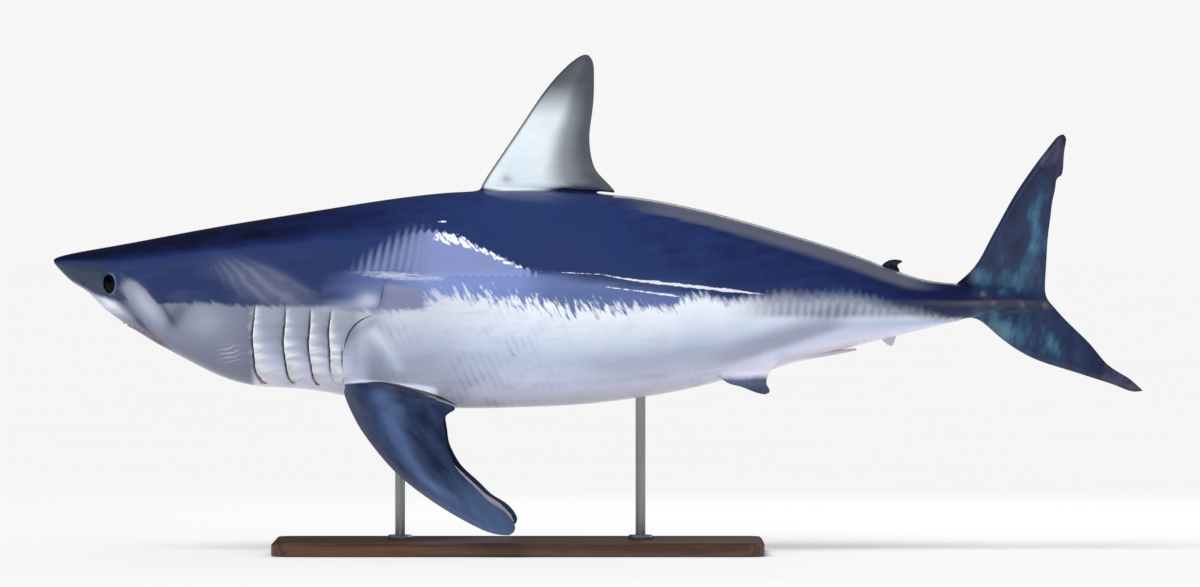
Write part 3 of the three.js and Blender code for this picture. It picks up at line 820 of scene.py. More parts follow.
# %% Nostrils: short slanting slits with a small flap, well ahead of the eyes
NOSTRIL_S, NOSTRIL_Z, NOSTRIL_SLANT = 61.0, 541.0, -38
across_n, down_n = axes_at(NOSTRIL_S, NOSTRIL_Z, NOSTRIL_SLANT)
nostril_line = down_n - 0.03 * across_n**2
slit_n = hump(across_n, 0, 8) * hump(nostril_line, 0, 1.9) * (along < 100)
relief += -3.2 * slit_n + 1.1 * hump(across_n, 0, 8.5) * hump(nostril_line, 4.4, 2.2) * (along < 100)
nostril_shade = rise(0.25, 0.75, slit_n) * (along < 100)
print("nostril", slit_n.max().round(2), "of its full depth on the grid")

# %% [markdown]
# Muscles and creases of the head. The jaw muscle swells behind and below the eye and ends in a crease; the
# gill chamber swells again behind it. Folds fan from the back of the head down to the tops of the slits,
# and a swelling curves back from the last slit.

# %% Head forms: height in mm, then the place, size and slope of each
CHEEK_SLOPE = -51
SWELLING = fold((636, 452), (668, 420), 11) + fold((664, 426), (700, 362), 11)
forms = 2.6 * SWELLING + total(blob, (
    (6.5, 192, 488, 66, 25, CHEEK_SLOPE),  # jaw muscle
    (5.0, 305, 452, 40, 50),  # gill chamber
    (-4.5, 252, 478, 11, 36, -20),  # crease between the two
    (-2.6, 133, 514, 30, 7, -38),  # fold below the eye
    (-2.0, 93, 530, 7, 22, 14),  # hollow ahead of the eye
    (1.6, 116, 566, 26, 6),  # brow
    (2.2, 108, 500, 30, 9, -30),  # upper lip
    (2.4, 690, 420, 34, 80, -62),  # shoulder muscle
    (2.0, 630, 430, 22, 46, -14),  # behind the last slit
)) + total(fold, (
    (1.7, (341, 586), (405, 500), 11),  # four ridges that fan down to the slits
    (1.7, (368, 572), (448, 500), 11),
    (1.7, (398, 574), (505, 504), 11),
    (1.7, (430, 572), (548, 506), 11),
    (-2.4, (584, 398), (598, 452), 5),  # the curved top of the last slit
    (-2.4, (598, 446), (650, 480), 4.5),
))
relief += rise(28, 60, angle) * forms

near_opening = np.hypot((along - EYE_S) / (EYE_LONG + 6), (height - EYE_Z) / (EYE_TALL + 6))
relief *= on_body * (along < 1600)
relief *= np.where((aside > 20) & (along < 150), rise(0.9, 1.35, near_opening), 1.0)
# A painted highlight along the upper lip under the eye.
lip_highlight = np.maximum(lip_highlight, 0.8 * blob(112, 502, 34, 8, -34))

# %% Push the skin out or in
normals = point_normals(skin_points, skin_quads)
if (normals[:, 1] * skin_points[:, 1]).sum() < 0:
    skin_quads = skin_quads[:, ::-1]
    normals = -normals
normals[np.abs(skin_points[:, 1]) < 1e-6, 1] = 0
skin_points = skin_points + normals * relief[:, None]
print("relief from", relief.min().round(1), "to", relief.max().round(1), "mm")

# %% [markdown]
# ## Markings, and painted light and shade
# A mako is countershaded: indigo above, white below, with a ragged line between. The markings are worked
# out here as masks, one number for each point of the skin, from where the point lies. Some masks paint light
# and shade instead: reflections and highlights of the lamps on the wet skin, and shade in creases, hollows
# and slits. The material then mixes its colours by these masks and adds what is finer than the mesh:
# streaks, the ribs of a painted reflection, speckles and painted glints.

# %% How far above the blue's lower edge each point lies
boundary = along_body([
    (0, 572), (20, 557), (45, 542), (70, 528), (100, 516), (130, 511), (165, 507), (210, 502), (300, 501),
    (420, 497), (600, 491), (700, 497), (745, 518), (800, 520), (860, 515), (920, 507), (1000, 498),
    (1080, 491), (1200, 493), (1330, 504), (1450, 515), (1560, 514), (1640, 503), (1700, 488), (1750, 477),
    (1820, 466), (1975, 440),
])
edge_of_blue = boundary(along) + 16 * between(1236, 1262, 1290, 1350, along)
top_of_back = back(np.clip(along, 0, 1975))
lowest = belly(np.clip(along, 0, 1975))
above_edge = height - edge_of_blue
# The jaw muscle's white swelling reaches up behind the eye.
cheek_edge = oval_distance(191, 490, 76, 25, CHEEK_SLOPE)
above_edge = np.where(along < 300, np.minimum(above_edge, cheek_edge), above_edge)
share_up = np.clip((height - edge_of_blue) / np.maximum(top_of_back - edge_of_blue, 5), 0, 1.2)
share_down = np.clip((edge_of_blue - height) / np.maximum(edge_of_blue - lowest, 5), 0, 1)
outer_face = np.where(skin_points[:, 1] < 0, -normals[:, 1], normals[:, 1])
print("the blue's edge lies", edge_of_blue.min().round(), "to", edge_of_blue.max().round(), "mm high")


# %% Where the blue runs on each fin
def across_fin(name, ribs):
    """Share from a fin's front edge to its rear edge, read from its ribs by height."""
    ribs = np.array(sorted(ribs, key=lambda rib: rib[1]))
    front = np.interp(height, ribs[:, 1], ribs[:, 0])
    by_rear = ribs[np.argsort(ribs[:, 3])]
    rear = np.interp(height, by_rear[:, 3], by_rear[:, 2])
    return np.where(part(name), (along - front) / np.maximum(rear - front, 4), 0)


dorsal_share = across_fin("first_dorsal", FIRST_DORSAL["ribs"])
dorsal_front = profile(height, *[(rib[1], rib[0]) for rib in FIRST_DORSAL["ribs"]])
pectoral_share = across_fin("pectoral", PECTORAL["ribs"])
on_tail = part("body") * rise(1846, 1862, along)
below_root = 2.5 * (profile(along, (575, 330), (586, 341), (652, 347), (715, 331), (812, 296)) - height)
outer_blue = np.minimum(70 * (2 * rise(-0.85, -0.55, outer_face) - 1), below_root)
# The pale underside of a pectoral fin has a dusky margin behind.
dusky_margin = np.minimum(140 * rise(0.84, 0.94, pectoral_share) - 70, below_root)
blue = np.where(part("first_dorsal") | part("second_dorsal"), 90, above_edge)
blue = np.where(part("anal") | part("clasper"), -40, blue)
blue = np.where(part("pectoral"), np.maximum(outer_blue, dusky_margin), blue)
blue = np.where(part("pelvic"), 1.3 * (354 - height), blue) + on_tail * 120
print("blue side:", int((blue > 0).sum()), "points of", len(blue))

# %% [markdown]
# A line thinner than the mesh's cells can't be a mask of its own: it would break into beads. So the skin
# carries two smooth fields instead, how far each point lies beside the line and half the line's width
# there, and the material compares them.

# %% Dark lines finer than the mesh, painted shade in creases and at the pectoral's root, the lateral line and old scratches: half of the greatest width, and the path
CREASE_SHADES_AND_MARKS = (
    # painted shade in the curved top of the last slit
    (2.2, [(582, 392), (586, 418), (599, 450), (622, 471), (654, 481)]),  # curved top of the last slit
    # painted shadow where the belly overhangs the pectoral's root
    (4.2, [(640, 347), (668, 343), (715, 331), (766, 316.5), (816, 293)]),  # at the pectoral's root
    # painted shade in the crease in front of the shoulder
    (1.3, [(668, 558), (663, 532), (656, 502), (652, 478)]),  # in front of the shoulder
    (1.1, [(694, 558), (744, 555)]),  # along the lateral line over the shoulder
    (0.8, [(906, 415), (937, 387)]),  # three old scratches on the white
    (0.6, [(1028, 392), (1041, 376)]),
    (0.5, [(847, 413), (861, 404)]),
)
REACH = 14.0  # mm; beyond it a crease isn't drawn
crease, crease_shade_and_marks_half = np.full(len(along), REACH), np.full(len(along), -REACH)
for widest_half, line in CREASE_SHADES_AND_MARKS:
    line = curve(line)(np.linspace(0, 1, 25)) if len(line) > 2 else np.array(line, float)
    for k, ((s0, z0), (s1, z1)) in enumerate(zip(line[:-1], line[1:])):
        long = math.hypot(s1 - s0, z1 - z0)
        run = np.clip(((along - s0) * (s1 - s0) + (height - z0) * (z1 - z0)) / long**2, 0, 1)
        off_s, off_z = along - s0 - run * (s1 - s0), height - z0 - run * (z1 - z0)
        side_of = np.sign(off_z * (s1 - s0) - off_s * (z1 - z0))
        nearer = np.hypot(off_s, off_z) < np.abs(crease)
        crease = np.where(nearer, side_of * np.hypot(off_s, off_z), crease)
        taper = np.sqrt(np.sin(np.pi * (k + run) / (len(line) - 1)))
        crease_shade_and_marks_half = np.where(nearer, (widest_half + 1.5) * taper - 1.5, crease_shade_and_marks_half)
crease_shade_and_marks_half = np.where((on_body | part("pectoral")) & (outer_face > -0.2), crease_shade_and_marks_half, -REACH)
print("points on a crease:", int((np.abs(crease) < crease_shade_and_marks_half).sum()))

# %% How dark the blue is, and how ragged and how soft its edge
front_dark = 0.2 + 0.78 * rise(0.56, 0.84, share_up)
middle_dark = 0.34 + 0.16 * share_up + 0.1 * hump(along, 640, 170) - 0.08 * hump(along, 980, 140)
rear_dark = 0.5 + 0.22 * share_up + 0.22 * rise(1500, 1750, along)
to_middle, to_rear = rise(380, 800, along), rise(1050, 1450, along)
navy = (front_dark * (1 - to_middle) + middle_dark * to_middle) * (1 - to_rear) + rear_dark * to_rear
navy = np.where(part("first_dorsal"), 0.75, np.where(part("second_dorsal"), 1.0, navy))
ragged = on_body * (1 - on_tail) * profile(
    along, (225, 0.7), (300, 4), (420, 4), (560, 0.9), (700, 5), (745, 14), (830, 24), (900, 26), (1100, 24),
    (1240, 14), (1330, 4), (1750, 3), (1830, 2),
)
soft = profile(
    along, (150, 5), (190, 3), (240, 3), (300, 6), (400, 5), (640, 8), (740, 14), (1200, 13), (1320, 9),
    (1450, 21), (1760, 17), (1850, 4),
)
soft = np.where(on_body, soft, np.where(part("pelvic"), 13, 4))
comb = between(1270, 1400, 1740, 1815, along) * rise(460, 478, height) * on_body
print("the edge is ragged by up to", ragged.max().round(), "mm")

# %% [markdown]
# Above the pectoral fin a paler dome with ribs is a painted reflection of the lamps on the wet muscle blocks.
# Under it the lateral line runs back as a pale band of painted sheen, with two thin bright lines of painted
# reflection. A grey patch marks the shoulder, and a whitish tongue of painted highlight lies along the dome's
# lower edge.

# %% The band's painted sheen, the dome's painted reflection and glints, and the marks and painted highlight of the shoulder
in_reach = on_body & (along > 575) & (along < 975)
from_line = height - profile(
    along, (560, 566), (930, 570), (973, 566), (1096, 560), (1147, 550), (1383, 524), (1450, 517),
)
# Painted sheen on the pale band under the lateral line.
sheen = on_body * (1 - rise(-12, 2, from_line)) * profile(
    along, (540, 0), (620, 0.35), (700, 0.6), (760, 0.95), (930, 0.9), (1000, 0.5), (1244, 0.5), (1400, 0),
)
sheen = sheen * (1 - 0.9 * rise(1000, 1080, along) * rise(-24, -10, from_line))
# The dome is a painted reflection of the lamps on the wet flank, under this arch.
arch = spline([(560, 560), (600, 572), (680, 622), (758, 646), (850, 616), (935, 576), (990, 552)])(along)
under_arch = arch - height
dome_reflection = np.where(in_reach, np.clip(np.minimum(under_arch, 2.2 * (height - 556)), -60, 60), -60)
dome_reflection_fade = rise(665, 775, along)
# Where the painted reflection breaks into ribs over the muscle blocks.
ribbed_reflection = 0.6 * between(580, 640, 715, 770, along) * rise(-22, 4, under_arch)
ribbed_reflection = ribbed_reflection * rise(556, 574, height) * in_reach
# Painted glints flicker along the dome's edge and on the shoulder.
glints_and_speckles = rise(770, 830, along) * hump(under_arch, 4, 9) * rise(564, 576, height)
glints_and_speckles = np.clip(glints_and_speckles + blob(783, 631, 52, 17, -14) + 0.9 * blob(779, 664, 22, 7), 0, 1) * in_reach
# White speckles along the blue's edge behind the head.
glints_and_speckles += 0.66 * hump(above_edge, 2, 6) * between(300, 320, 380, 400, along) * on_body
# A tongue of painted highlight along the dome's lower edge.
tongue_highlight = np.where(in_reach, -oval_distance(700, 556, 104, 9, -4), -20)
patch_long = np.minimum(along - 660, 0.4 * (750 - along))
patch_tall = np.minimum(height - 489, 538 - height - 0.12 * (along - 700))
patch = np.where(on_body, np.clip(np.minimum(patch_long, patch_tall), -40, 40), -40)
haze = np.clip(0.9 * blob(634, 508, 24, 15) + 0.4 * blob(590, 498, 40, 10), 0, 1) * on_body
print("dome rises", (arch.max() - 556).round(), "mm above the band")

# %% Two thin bright lines along the lateral line: painted highlights, where a lamp strip mirrors in the wet skin
gleam = height - profile(along, (930, 577), (973, 566), (1096, 560), (1147, 550), (1383, 524), (1440, 517))
gleam_half = profile(
    along, (900, -3), (940, 0.3), (1090, 0.6), (1150, 2.0), (1200, 3.3), (1350, 3.3), (1400, 1.5), (1450, -3),
)
gleam_low = height - profile(along, (1090, 537), (1236, 518), (1310, 508))
gleam_low_half = profile(along, (1070, -3), (1110, 0.8), (1200, 1.6), (1240, 3), (1262, -3))
gleam, gleam_low = (np.where(on_body, np.clip(g, -40, 40), -40) for g in (gleam, gleam_low))
print("points on the bright lines:", int((np.abs(gleam) < gleam_half).sum()))

# %% [markdown]
# The first dorsal fin is grey, and a painted glare makes it shine silver in front of its middle. A grey strip
# of painted sheen runs along the ridge of the back to the tail, and the pelvic fin and the front edge of the
# pectoral fin are grey as well.

# %% Painted glare, painted sheen and grey
fin_foot = profile(
    along, (860, 727), (905, 720), (985, 723), (1020, 729), (1043, 732), (1085, 729), (1120, 718),
)
fin_grey = rise(0, 9, height - fin_foot) * part("first_dorsal")
# Painted glare of the lamps on the first dorsal fin, in front of its middle, fading towards its tip and rear.
dorsal_glare = fin_grey * rise(1, 8, along - dorsal_front) * (1 - 0.95 * rise(855, 950, height))
dorsal_glare = dorsal_glare * (1 - 0.7 * rise(0.46, 0.7, dorsal_share)) * (1 - 0.85 * rise(0.64, 0.93, dorsal_share))
# A painted sheen along the ridge of the back, from behind the first dorsal fin to the tail.
ridge_sheen_width = profile(along, (1110, 30), (1640, 29), (1700, 26), (1800, 11), (1835, 4))
back_ridge_sheen = 0.85 * between(1110, 1240, 1700, 1790, along) * rise(-1.3, -0.7, (height - top_of_back) / ridge_sheen_width)
pelvic_grey = (0.3 + 0.4 * rise(326, 350, height)) * rise(352, 344, height)
lead_grey = 0.45 * hump(np.minimum(pectoral_share, 1), 0, 0.13) * part("pectoral") * (outer_face > -0.3)
grey = np.where(part("pelvic"), pelvic_grey, back_ridge_sheen * on_body * (aside < 70))
grey = np.maximum(grey, lead_grey)
print("silver on", int((dorsal_glare > 0.5).sum()), "points")

# %% Where the white is a bluish grey, partly painted shade, and lighter as painted highlight over the swellings
keel_line = profile(
    along, (1300, 365), (1333, 372), (1450, 408), (1559, 444), (1620, 461), (1700, 469), (1830, 470),
)
over_keel = height - keel_line
grey_and_shade = 1 - 0.4 * rise(602, 625, along) - 0.2 * rise(640, 700, along) - 0.35 * rise(690, 960, along)
# Painted highlights: less grey where the jaw muscle, the gill chamber, the swelling behind the last slit and
# the lip under the eye bulge out, and on the lower gill flaps.
grey_and_shade -= 0.35 * SWELLING + total(blob, (
    (0.36, 196, 492, 56, 17, CHEEK_SLOPE), (0.2, 308, 464, 40, 36), (1.0, 108, 500, 36, 11, -32),
))
grey_and_shade -= between(395, 410, 590, 640, along) * (0.2 + 0.7 * rise(450, 350, height))
# Painted shade in bands over the rear of the belly and low down the white side; behind 1330 mm the white
# above 470 mm greys as well.
grey_and_shade += 0.55 * between(1230, 1420, 1540, 1620, along) * between(-6, 12, 25, 62, over_keel)
grey_and_shade += 0.8 * rise(1330, 1480, along) * rise(468, 482, height)
grey_and_shade += 0.2 * hump(share_down, 0.75, 0.25) * between(620, 650, 760, 860, along)
grey_and_shade += 0.3 * hump(share_down, 0.62, 0.18) * between(1000, 1150, 1250, 1400, along)
grey_and_shade = np.where(part("anal"), 0.45, np.clip(grey_and_shade, 0, 1) * on_body)
print("mean dusk on the body", grey_and_shade[on_body].mean().round(2))

# %% Wrinkles, muscle bands, ridges, snout and the fins' tints, with a painted highlight down the pectoral fin
# Where painted highlights pick out the wrinkles of the throat.
wrinkled = 0.6 * on_body * blob(356, 402, 17, 17)
muscle = on_body * rise(600, 690, along) * (1 - 0.75 * rise(880, 1080, along))
muscle = muscle * (0.5 + 0.5 * rise(485, 450, height))
ridged = on_body * np.exp(-(np.clip(oval_distance(425, 540, 100, 34, -22) + 34, 0, 90) / 34) ** 4)
fan = np.degrees(np.arctan2(633 - height, np.maximum(along - 305, 1)))
snout = rise(0.78, 0.5, share_up) * between(2, 18, 92, 128, along) * rise(-10, 10, above_edge)
teal = rise(1822, 1858, along) * part("body")
# The tail's darker line along its middle, just under the keel, is painted shade.
tail_light = 0.2 - 0.3 * rise(700, 800, height) - 0.4 * rise(2050, 2140, along) + total(blob, (
    (0.5, 1842, 556, 26, 22), (0.5, 1893, 452, 52, 26, -35), (0.3, 1905, 545, 60, 26),
    (0.32, 1965, 640, 20, 95, -4), (0.2, 1990, 420, 70, 26, -40), (-0.32, 1915, 502, 80, 9),
))
slate = (part("pelvic") | part("pectoral")) * 1.0
# A painted highlight runs down the middle of the pectoral fin, which is also lighter towards its tip; the
# pelvic fin is paler at its root.
middle_of_fin = 0.4 - 0.06 * rise(250, 120, height)
slate_highlight_and_pale = 0.75 * hump(pectoral_share, middle_of_fin, 0.13) * rise(346, 316, height)
slate_highlight_and_pale = slate_highlight_and_pale * rise(100, 150, height) + 0.5 * rise(180, 100, height)
slate_highlight_and_pale = np.where(part("pelvic"), 0.9 * rise(326, 354, height) * rise(1435, 1380, along), slate_highlight_and_pale)
print("tail tones from", tail_light[teal > 0].min().round(2), "to", tail_light[teal > 0].max().round(2))

# %% Pink places, and painted shade
eye_ring = np.hypot((along - EYE_S) / EYE_LONG, (height - EYE_Z) / EYE_TALL) * on_body
behind_eye = along - EYE_S
rim = 0.5 * hump(eye_ring, 1.1, 0.1) * rise(-4, 10, behind_eye) * (along < 160)
vent_line = hump(height, 396 + 0.2 * (along - 1500), 9)
pink = np.max([
    0.5 * part("clasper") * rise(1440, 1600, along),
    0.5 * under * rise(9, 2, gape) * rise(-10, -4, gape) * to_corner,
    0.3 * vent_line * between(1440, 1500, 1580, 1640, along) * on_body,
    *(0.4 * blob(s, z, 5, 4) * part("body") for s, z in ((1858, 519), (1878, 501), (1937, 497), (1983, 496))),
], axis=0)
# Painted shade inside the gill slits, the mouth's groove and the nostrils.
inside = np.max([slit_shade, mouth_shade, nostril_shade], axis=0) * on_body
shade = total(blob, (
    (0.5, 250, 478, 15, 36, -24), (0.7, 131, 514, 30, 6, -38), (0.6, 93, 529, 6, 20, 14),
    (0.5, 1105, 716, 26, 12), (0.5, 1915, 502, 80, 6),
)) + total(fold, (
    (0.35, (118, 522), (182, 462), 7), (0.65, (172, 470), (224, 414), 4.5), (0.3, (584, 390), (599, 452), 7),
    (0.3, (597, 440), (655, 472), 8), (0.3, (668, 556), (656, 482), 6),
))
shade += 0.65 * hump(cheek_edge, 4, 5) * rise(150, 185, along) * rise(445, 475, height)
shade += 0.4 * hump(eye_ring, 1.15, 0.2) * (1 - rise(-10, 6, behind_eye)) * (along < 160)
shade = np.clip(shade, 0, 0.9) * on_body + 0.5 * blob(907, 749, 11, 8) * part("first_dorsal")

# %% All masks by name
MASKS = dict(
    blue=blue, navy=navy, ragged=ragged, soft=soft, comb=comb, sheen=sheen, dome_reflection=dome_reflection, dome_reflection_fade=dome_reflection_fade,
    ribbed_reflection=ribbed_reflection, glints_and_speckles=glints_and_speckles, tongue_highlight=tongue_highlight, patch=patch, haze=haze, gleam=gleam, gleam_half=gleam_half,
    gleam_low=gleam_low, gleam_low_half=gleam_low_half, crease=crease, crease_shade_and_marks_half=crease_shade_and_marks_half, dorsal_glare=dorsal_glare,
    grey=grey, fin_grey=fin_grey, grey_and_shade=grey_and_shade, down=share_down, ridged=ridged, fan=fan, wrinkled=wrinkled,
    muscle=muscle, snout=snout, teal=teal, tail_light=tail_light, slate=slate, slate_highlight_and_pale=slate_highlight_and_pale,
    rim=rim, pink=pink, flesh=np.where(on_body, flesh, -8), inside=inside, shade=shade, lip_highlight=lip_highlight * on_body,
    hollow_shade=hollow_shade * on_body,
)
for name, mask in MASKS.items():
    print(f"{name:14} {mask.min():7.2f} to {mask.max():7.2f}")


# %% Make the skin mesh
def mesh_piece(name, p, faces, attributes=None):
    """A smooth-shaded mesh object from points in millimetres; coinciding points are joined."""
    mesh = bpy.data.meshes.new(name)
    mesh.from_pydata((p / 1000).tolist(), [], [list(dict.fromkeys(f)) for f in faces.tolist()])
    for key, values in (attributes or {}).items():
        mesh.attributes.new(key, "FLOAT", "POINT").data.foreach_set("value", np.asarray(values, np.float32))
    work = bmesh.new()
    work.from_mesh(mesh)
    bmesh.ops.remove_doubles(work, verts=work.verts, dist=2e-6)
    bmesh.ops.delete(work, geom=[v for v in work.verts if not v.link_faces], context="VERTS")
    bmesh.ops.recalc_face_normals(work, faces=work.faces)
    for face in work.faces:
        face.smooth = True
    open_edges = sum(1 for e in work.edges if not e.is_manifold)
    work.to_mesh(mesh)
    work.free()
    piece = bpy.data.objects.new(name, mesh)
    bpy.context.scene.collection.objects.link(piece)
    print(name, len(mesh.vertices), "points", len(mesh.polygons), "faces", open_edges, "open edges")
    return piece


skin = mesh_piece("shark_skin", skin_points, skin_quads, MASKS)

# %% [markdown]
# ## Eyes
# A mako's eye is large, black and nearly flush with the head. Each is an egg-shaped ball, taller than long,
# sunk in its socket and turned so that its front faces straight out of the skin there. The mesh is a small
# grid of latitudes and longitudes round the line of sight, with a mask that tells the pupil from the iris.


# %% Eyeballs: half depth, how far the middle lies under the skin, and how far the ball reaches under the rim
EYE_DEEP, EYE_SUNK, SOCKET_FIT = 9.4, 7.6, 0.9


def eyeball(name, side_sign):
    """An ellipsoid round the axis that leaves the socket; side_sign is -1 on the left."""
    step = 2.0
    here = body_half(EYE_S, EYE_Z)
    slope_s = (body_half(EYE_S + step, EYE_Z) - body_half(EYE_S - step, EYE_Z)) / (2 * step)
    slope_z = (body_half(EYE_S, EYE_Z + step) - body_half(EYE_S, EYE_Z - step)) / (2 * step)
    outwards = np.array([-slope_s, 1.0, -slope_z])
    outwards /= np.linalg.norm(outwards)
    up = np.array([-math.sin(EYE_LEAN), 0, math.cos(EYE_LEAN)])
    up -= up @ outwards * outwards
    up /= np.linalg.norm(up)
    forward = np.cross(outwards, up)
    middle_of_eye = np.array([EYE_S + SNOUT_X, here, EYE_Z]) - EYE_SUNK * outwards
    rings, spokes = 26, 48
    from_axis = np.radians(np.linspace(0, 180, rings + 1))[:, None]
    round_axis = np.radians(np.arange(spokes) * 360 / spokes)[None]
    long, tall = EYE_LONG + SOCKET_FIT, EYE_TALL + SOCKET_FIT
    ball = (
        middle_of_eye
        + (long * np.sin(from_axis) * np.cos(round_axis))[..., None] * forward
        + (tall * np.sin(from_axis) * np.sin(round_axis))[..., None] * up
        + (EYE_DEEP * np.cos(from_axis) + 0 * round_axis)[..., None] * outwards
    ).reshape(-1, 3)
    ball[:, 1] *= side_sign
    ring, spoke = (k.ravel() for k in np.meshgrid(np.arange(rings), np.arange(spokes), indexing="ij"))
    first, after = ring * spokes + spoke, ring * spokes + (spoke + 1) % spokes
    faces = np.stack([first, after, after + spokes, first + spokes], axis=-1)
    off_axis = np.repeat(np.degrees(from_axis), spokes)
    return mesh_piece(name, ball, faces, {"off_axis": off_axis})


eyes = [eyeball("eyeball_left", -1), eyeball("eyeball_right", 1)]

# %% [markdown]
# ## Teeth
# The front teeth of a mako are slender hooks that show even when the mouth is closed. They repeat along the
# jaws, so Geometry Nodes makes them: one cone is bent into a hook, set on each point of a row, and turned
# to lean the way that point says. The rows themselves are points on the two jaws with a lean and a size.


# %% One small function adds a node
def add(tree, kind, inputs=None, out=0, **settings):
    """Adds a node with its settings; inputs are values or sockets, by name or number. Returns output out."""
    made = tree.nodes.new(kind)
    for key, value in settings.items():
        setattr(made, key, value)
    for key, value in (inputs or {}).items():
        if isinstance(value, bpy.types.NodeSocket):
            tree.links.new(value, made.inputs[key])
        else:
            made.inputs[key].default_value = value
    return made if out is None else made.outputs[out]


# %% Points along the jaws
def on_head(back_along, beside):
    """How far out of the mouth's plane the skin lies, by halving the interval that holds it."""
    low, high = np.full_like(back_along, -70.0), np.full_like(back_along, 60.0)
    for _ in range(24):
        out = (low + high) / 2
        s = MOUTH_S + back_along * MOUTH_BACK[0] + out * MOUTH_OUT[0]
        z = MOUTH_Z + back_along * MOUTH_BACK[1] + out * MOUTH_OUT[1]
        inside_head = body_half(s, z) > beside
        low, high = np.where(inside_head, out, low), np.where(inside_head, high, out)
    return (low + high) / 2


def jaw_row(count, offset, sink, lean_aside, lean_out, reach):
    """Teeth of one jaw: offset from the mouth's line, feet sunk in the skin, up to reach behind its front."""
    fine = np.linspace(0, np.pi / 2, 600)
    long, half = MOUTH_LONG + 3 + offset, MOUTH_HALF + 3 + offset
    u = long * np.cos(fine) ** (2 / MOUTH_SQUARE)
    v = half * np.sin(fine) ** (2 / MOUTH_SQUARE)
    run = np.concatenate([[0], np.cumsum(np.hypot(np.diff(u), np.diff(v)))])
    usable = np.interp(MOUTH_LONG - reach, u[::-1], run[::-1])
    places = (np.arange(count) + 0.5) / count * usable
    u, v = np.interp(places, run, u), np.interp(places, run, v)
    back_along = MOUTH_LONG - u
    outer = np.stack([-np.gradient(v, places), np.gradient(u, places)], axis=-1)
    outer /= -np.linalg.norm(outer, axis=1, keepdims=True)
    out = on_head(back_along, v) - sink
    foot = np.stack([
        SNOUT_X + MOUTH_S + back_along * MOUTH_BACK[0] + out * MOUTH_OUT[0],
        -v,
        MOUTH_Z + back_along * MOUTH_BACK[1] + out * MOUTH_OUT[1],
    ], axis=-1)
    ahead, beside = -outer[:, 0], -outer[:, 1]
    lean = np.stack([
        -lean_aside * ahead * MOUTH_BACK[0] + lean_out * MOUTH_OUT[0],
        -lean_aside * beside,
        -lean_aside * ahead * MOUTH_BACK[1] + lean_out * MOUTH_OUT[1],
    ], axis=-1)
    lean /= np.linalg.norm(lean, axis=1, keepdims=True)
    size = 1.0 - 0.45 * np.linspace(0, 1, count) ** 1.3
    return foot, lean, size


upper_row = jaw_row(count=10, offset=1.6, sink=5.5, lean_aside=-0.10, lean_out=1.0, reach=78)
lower_row = jaw_row(count=9, offset=-2.6, sink=5.0, lean_aside=0.5, lean_out=0.8, reach=74)
feet, leans, sizes = (np.concatenate(both) for both in zip(upper_row, lower_row))
feet = np.concatenate([feet, feet * [1, -1, 1]])
leans = np.concatenate([leans, leans * [1, -1, 1]])
sizes = np.concatenate([sizes, sizes])
print(len(feet), "teeth; front of the row at", feet[0].round(1), "lower", feet[10].round(1))

# %% The tooth tree: a bent cone on every point
TOOTH = {"Length": 0.0105, "Foot radius": 0.0026, "Hook": 0.0019, "Seed": 4}  # lengths in metres
tooth_tree = bpy.data.node_groups.new("hooked_teeth", "GeometryNodeTree")
for label, kind in (
    ("Feet", "NodeSocketGeometry"), ("Length", "NodeSocketFloat"), ("Foot radius", "NodeSocketFloat"),
    ("Hook", "NodeSocketFloat"), ("Seed", "NodeSocketInt"), ("Enamel", "NodeSocketMaterial"),
):
    socket = tooth_tree.interface.new_socket(label, in_out="INPUT", socket_type=kind)
    if label in TOOTH:
        socket.default_value = TOOTH[label]
tooth_tree.interface.new_socket("Teeth", in_out="OUTPUT", socket_type="NodeSocketGeometry")
given = add(tooth_tree, "NodeGroupInput", out=None).outputs
cone = add(tooth_tree, "GeometryNodeMeshCone", {
    "Vertices": 10, "Side Segments": 7, "Radius Top": 0.00012, "Radius Bottom": given["Foot radius"],
    "Depth": given["Length"],
}, fill_type="NGON")
position = add(tooth_tree, "GeometryNodeInputPosition")
up_cone = add(tooth_tree, "ShaderNodeSeparateXYZ", {0: position}, out=2)
share_of_length = add(tooth_tree, "ShaderNodeMath", {0: up_cone, 1: given["Length"]}, operation="DIVIDE")
squared = add(tooth_tree, "ShaderNodeMath", {0: share_of_length, 1: 2.0}, operation="POWER")
bend_by = add(tooth_tree, "ShaderNodeMath", {0: squared, 1: given["Hook"]}, operation="MULTIPLY")
bend = add(tooth_tree, "ShaderNodeCombineXYZ", {0: bend_by})
hook = add(tooth_tree, "GeometryNodeSetPosition", {"Geometry": cone, "Offset": bend})
hook = add(tooth_tree, "GeometryNodeSetShadeSmooth", {"Geometry": hook})
lean = add(tooth_tree, "GeometryNodeInputNamedAttribute", {"Name": "lean"}, data_type="FLOAT_VECTOR")
size = add(tooth_tree, "GeometryNodeInputNamedAttribute", {"Name": "size"}, data_type="FLOAT")
turned = add(tooth_tree, "FunctionNodeAlignRotationToVector", {"Vector": lean}, axis="Z")
vary = add(tooth_tree, "FunctionNodeRandomValue", {
    2: 0.86, 3: 1.12, "Seed": given["Seed"],
}, out=1, data_type="FLOAT")
scale = add(tooth_tree, "ShaderNodeMath", {0: size, 1: vary}, operation="MULTIPLY")
row = add(tooth_tree, "GeometryNodeInstanceOnPoints", {
    "Points": given["Feet"], "Instance": hook, "Rotation": turned, "Scale": scale,
})
real = add(tooth_tree, "GeometryNodeRealizeInstances", {"Geometry": row})
finished = add(tooth_tree, "GeometryNodeSetMaterial", {"Geometry": real, "Material": given["Enamel"]})
add(tooth_tree, "NodeGroupOutput", {0: finished}, out=None)


# %% [markdown]
# ## Materials
# Every material starts from what the real surface is. Colours are written as sRGB hex, as on a paint chart,
# and turned to the linear values that the renderer calculates with.


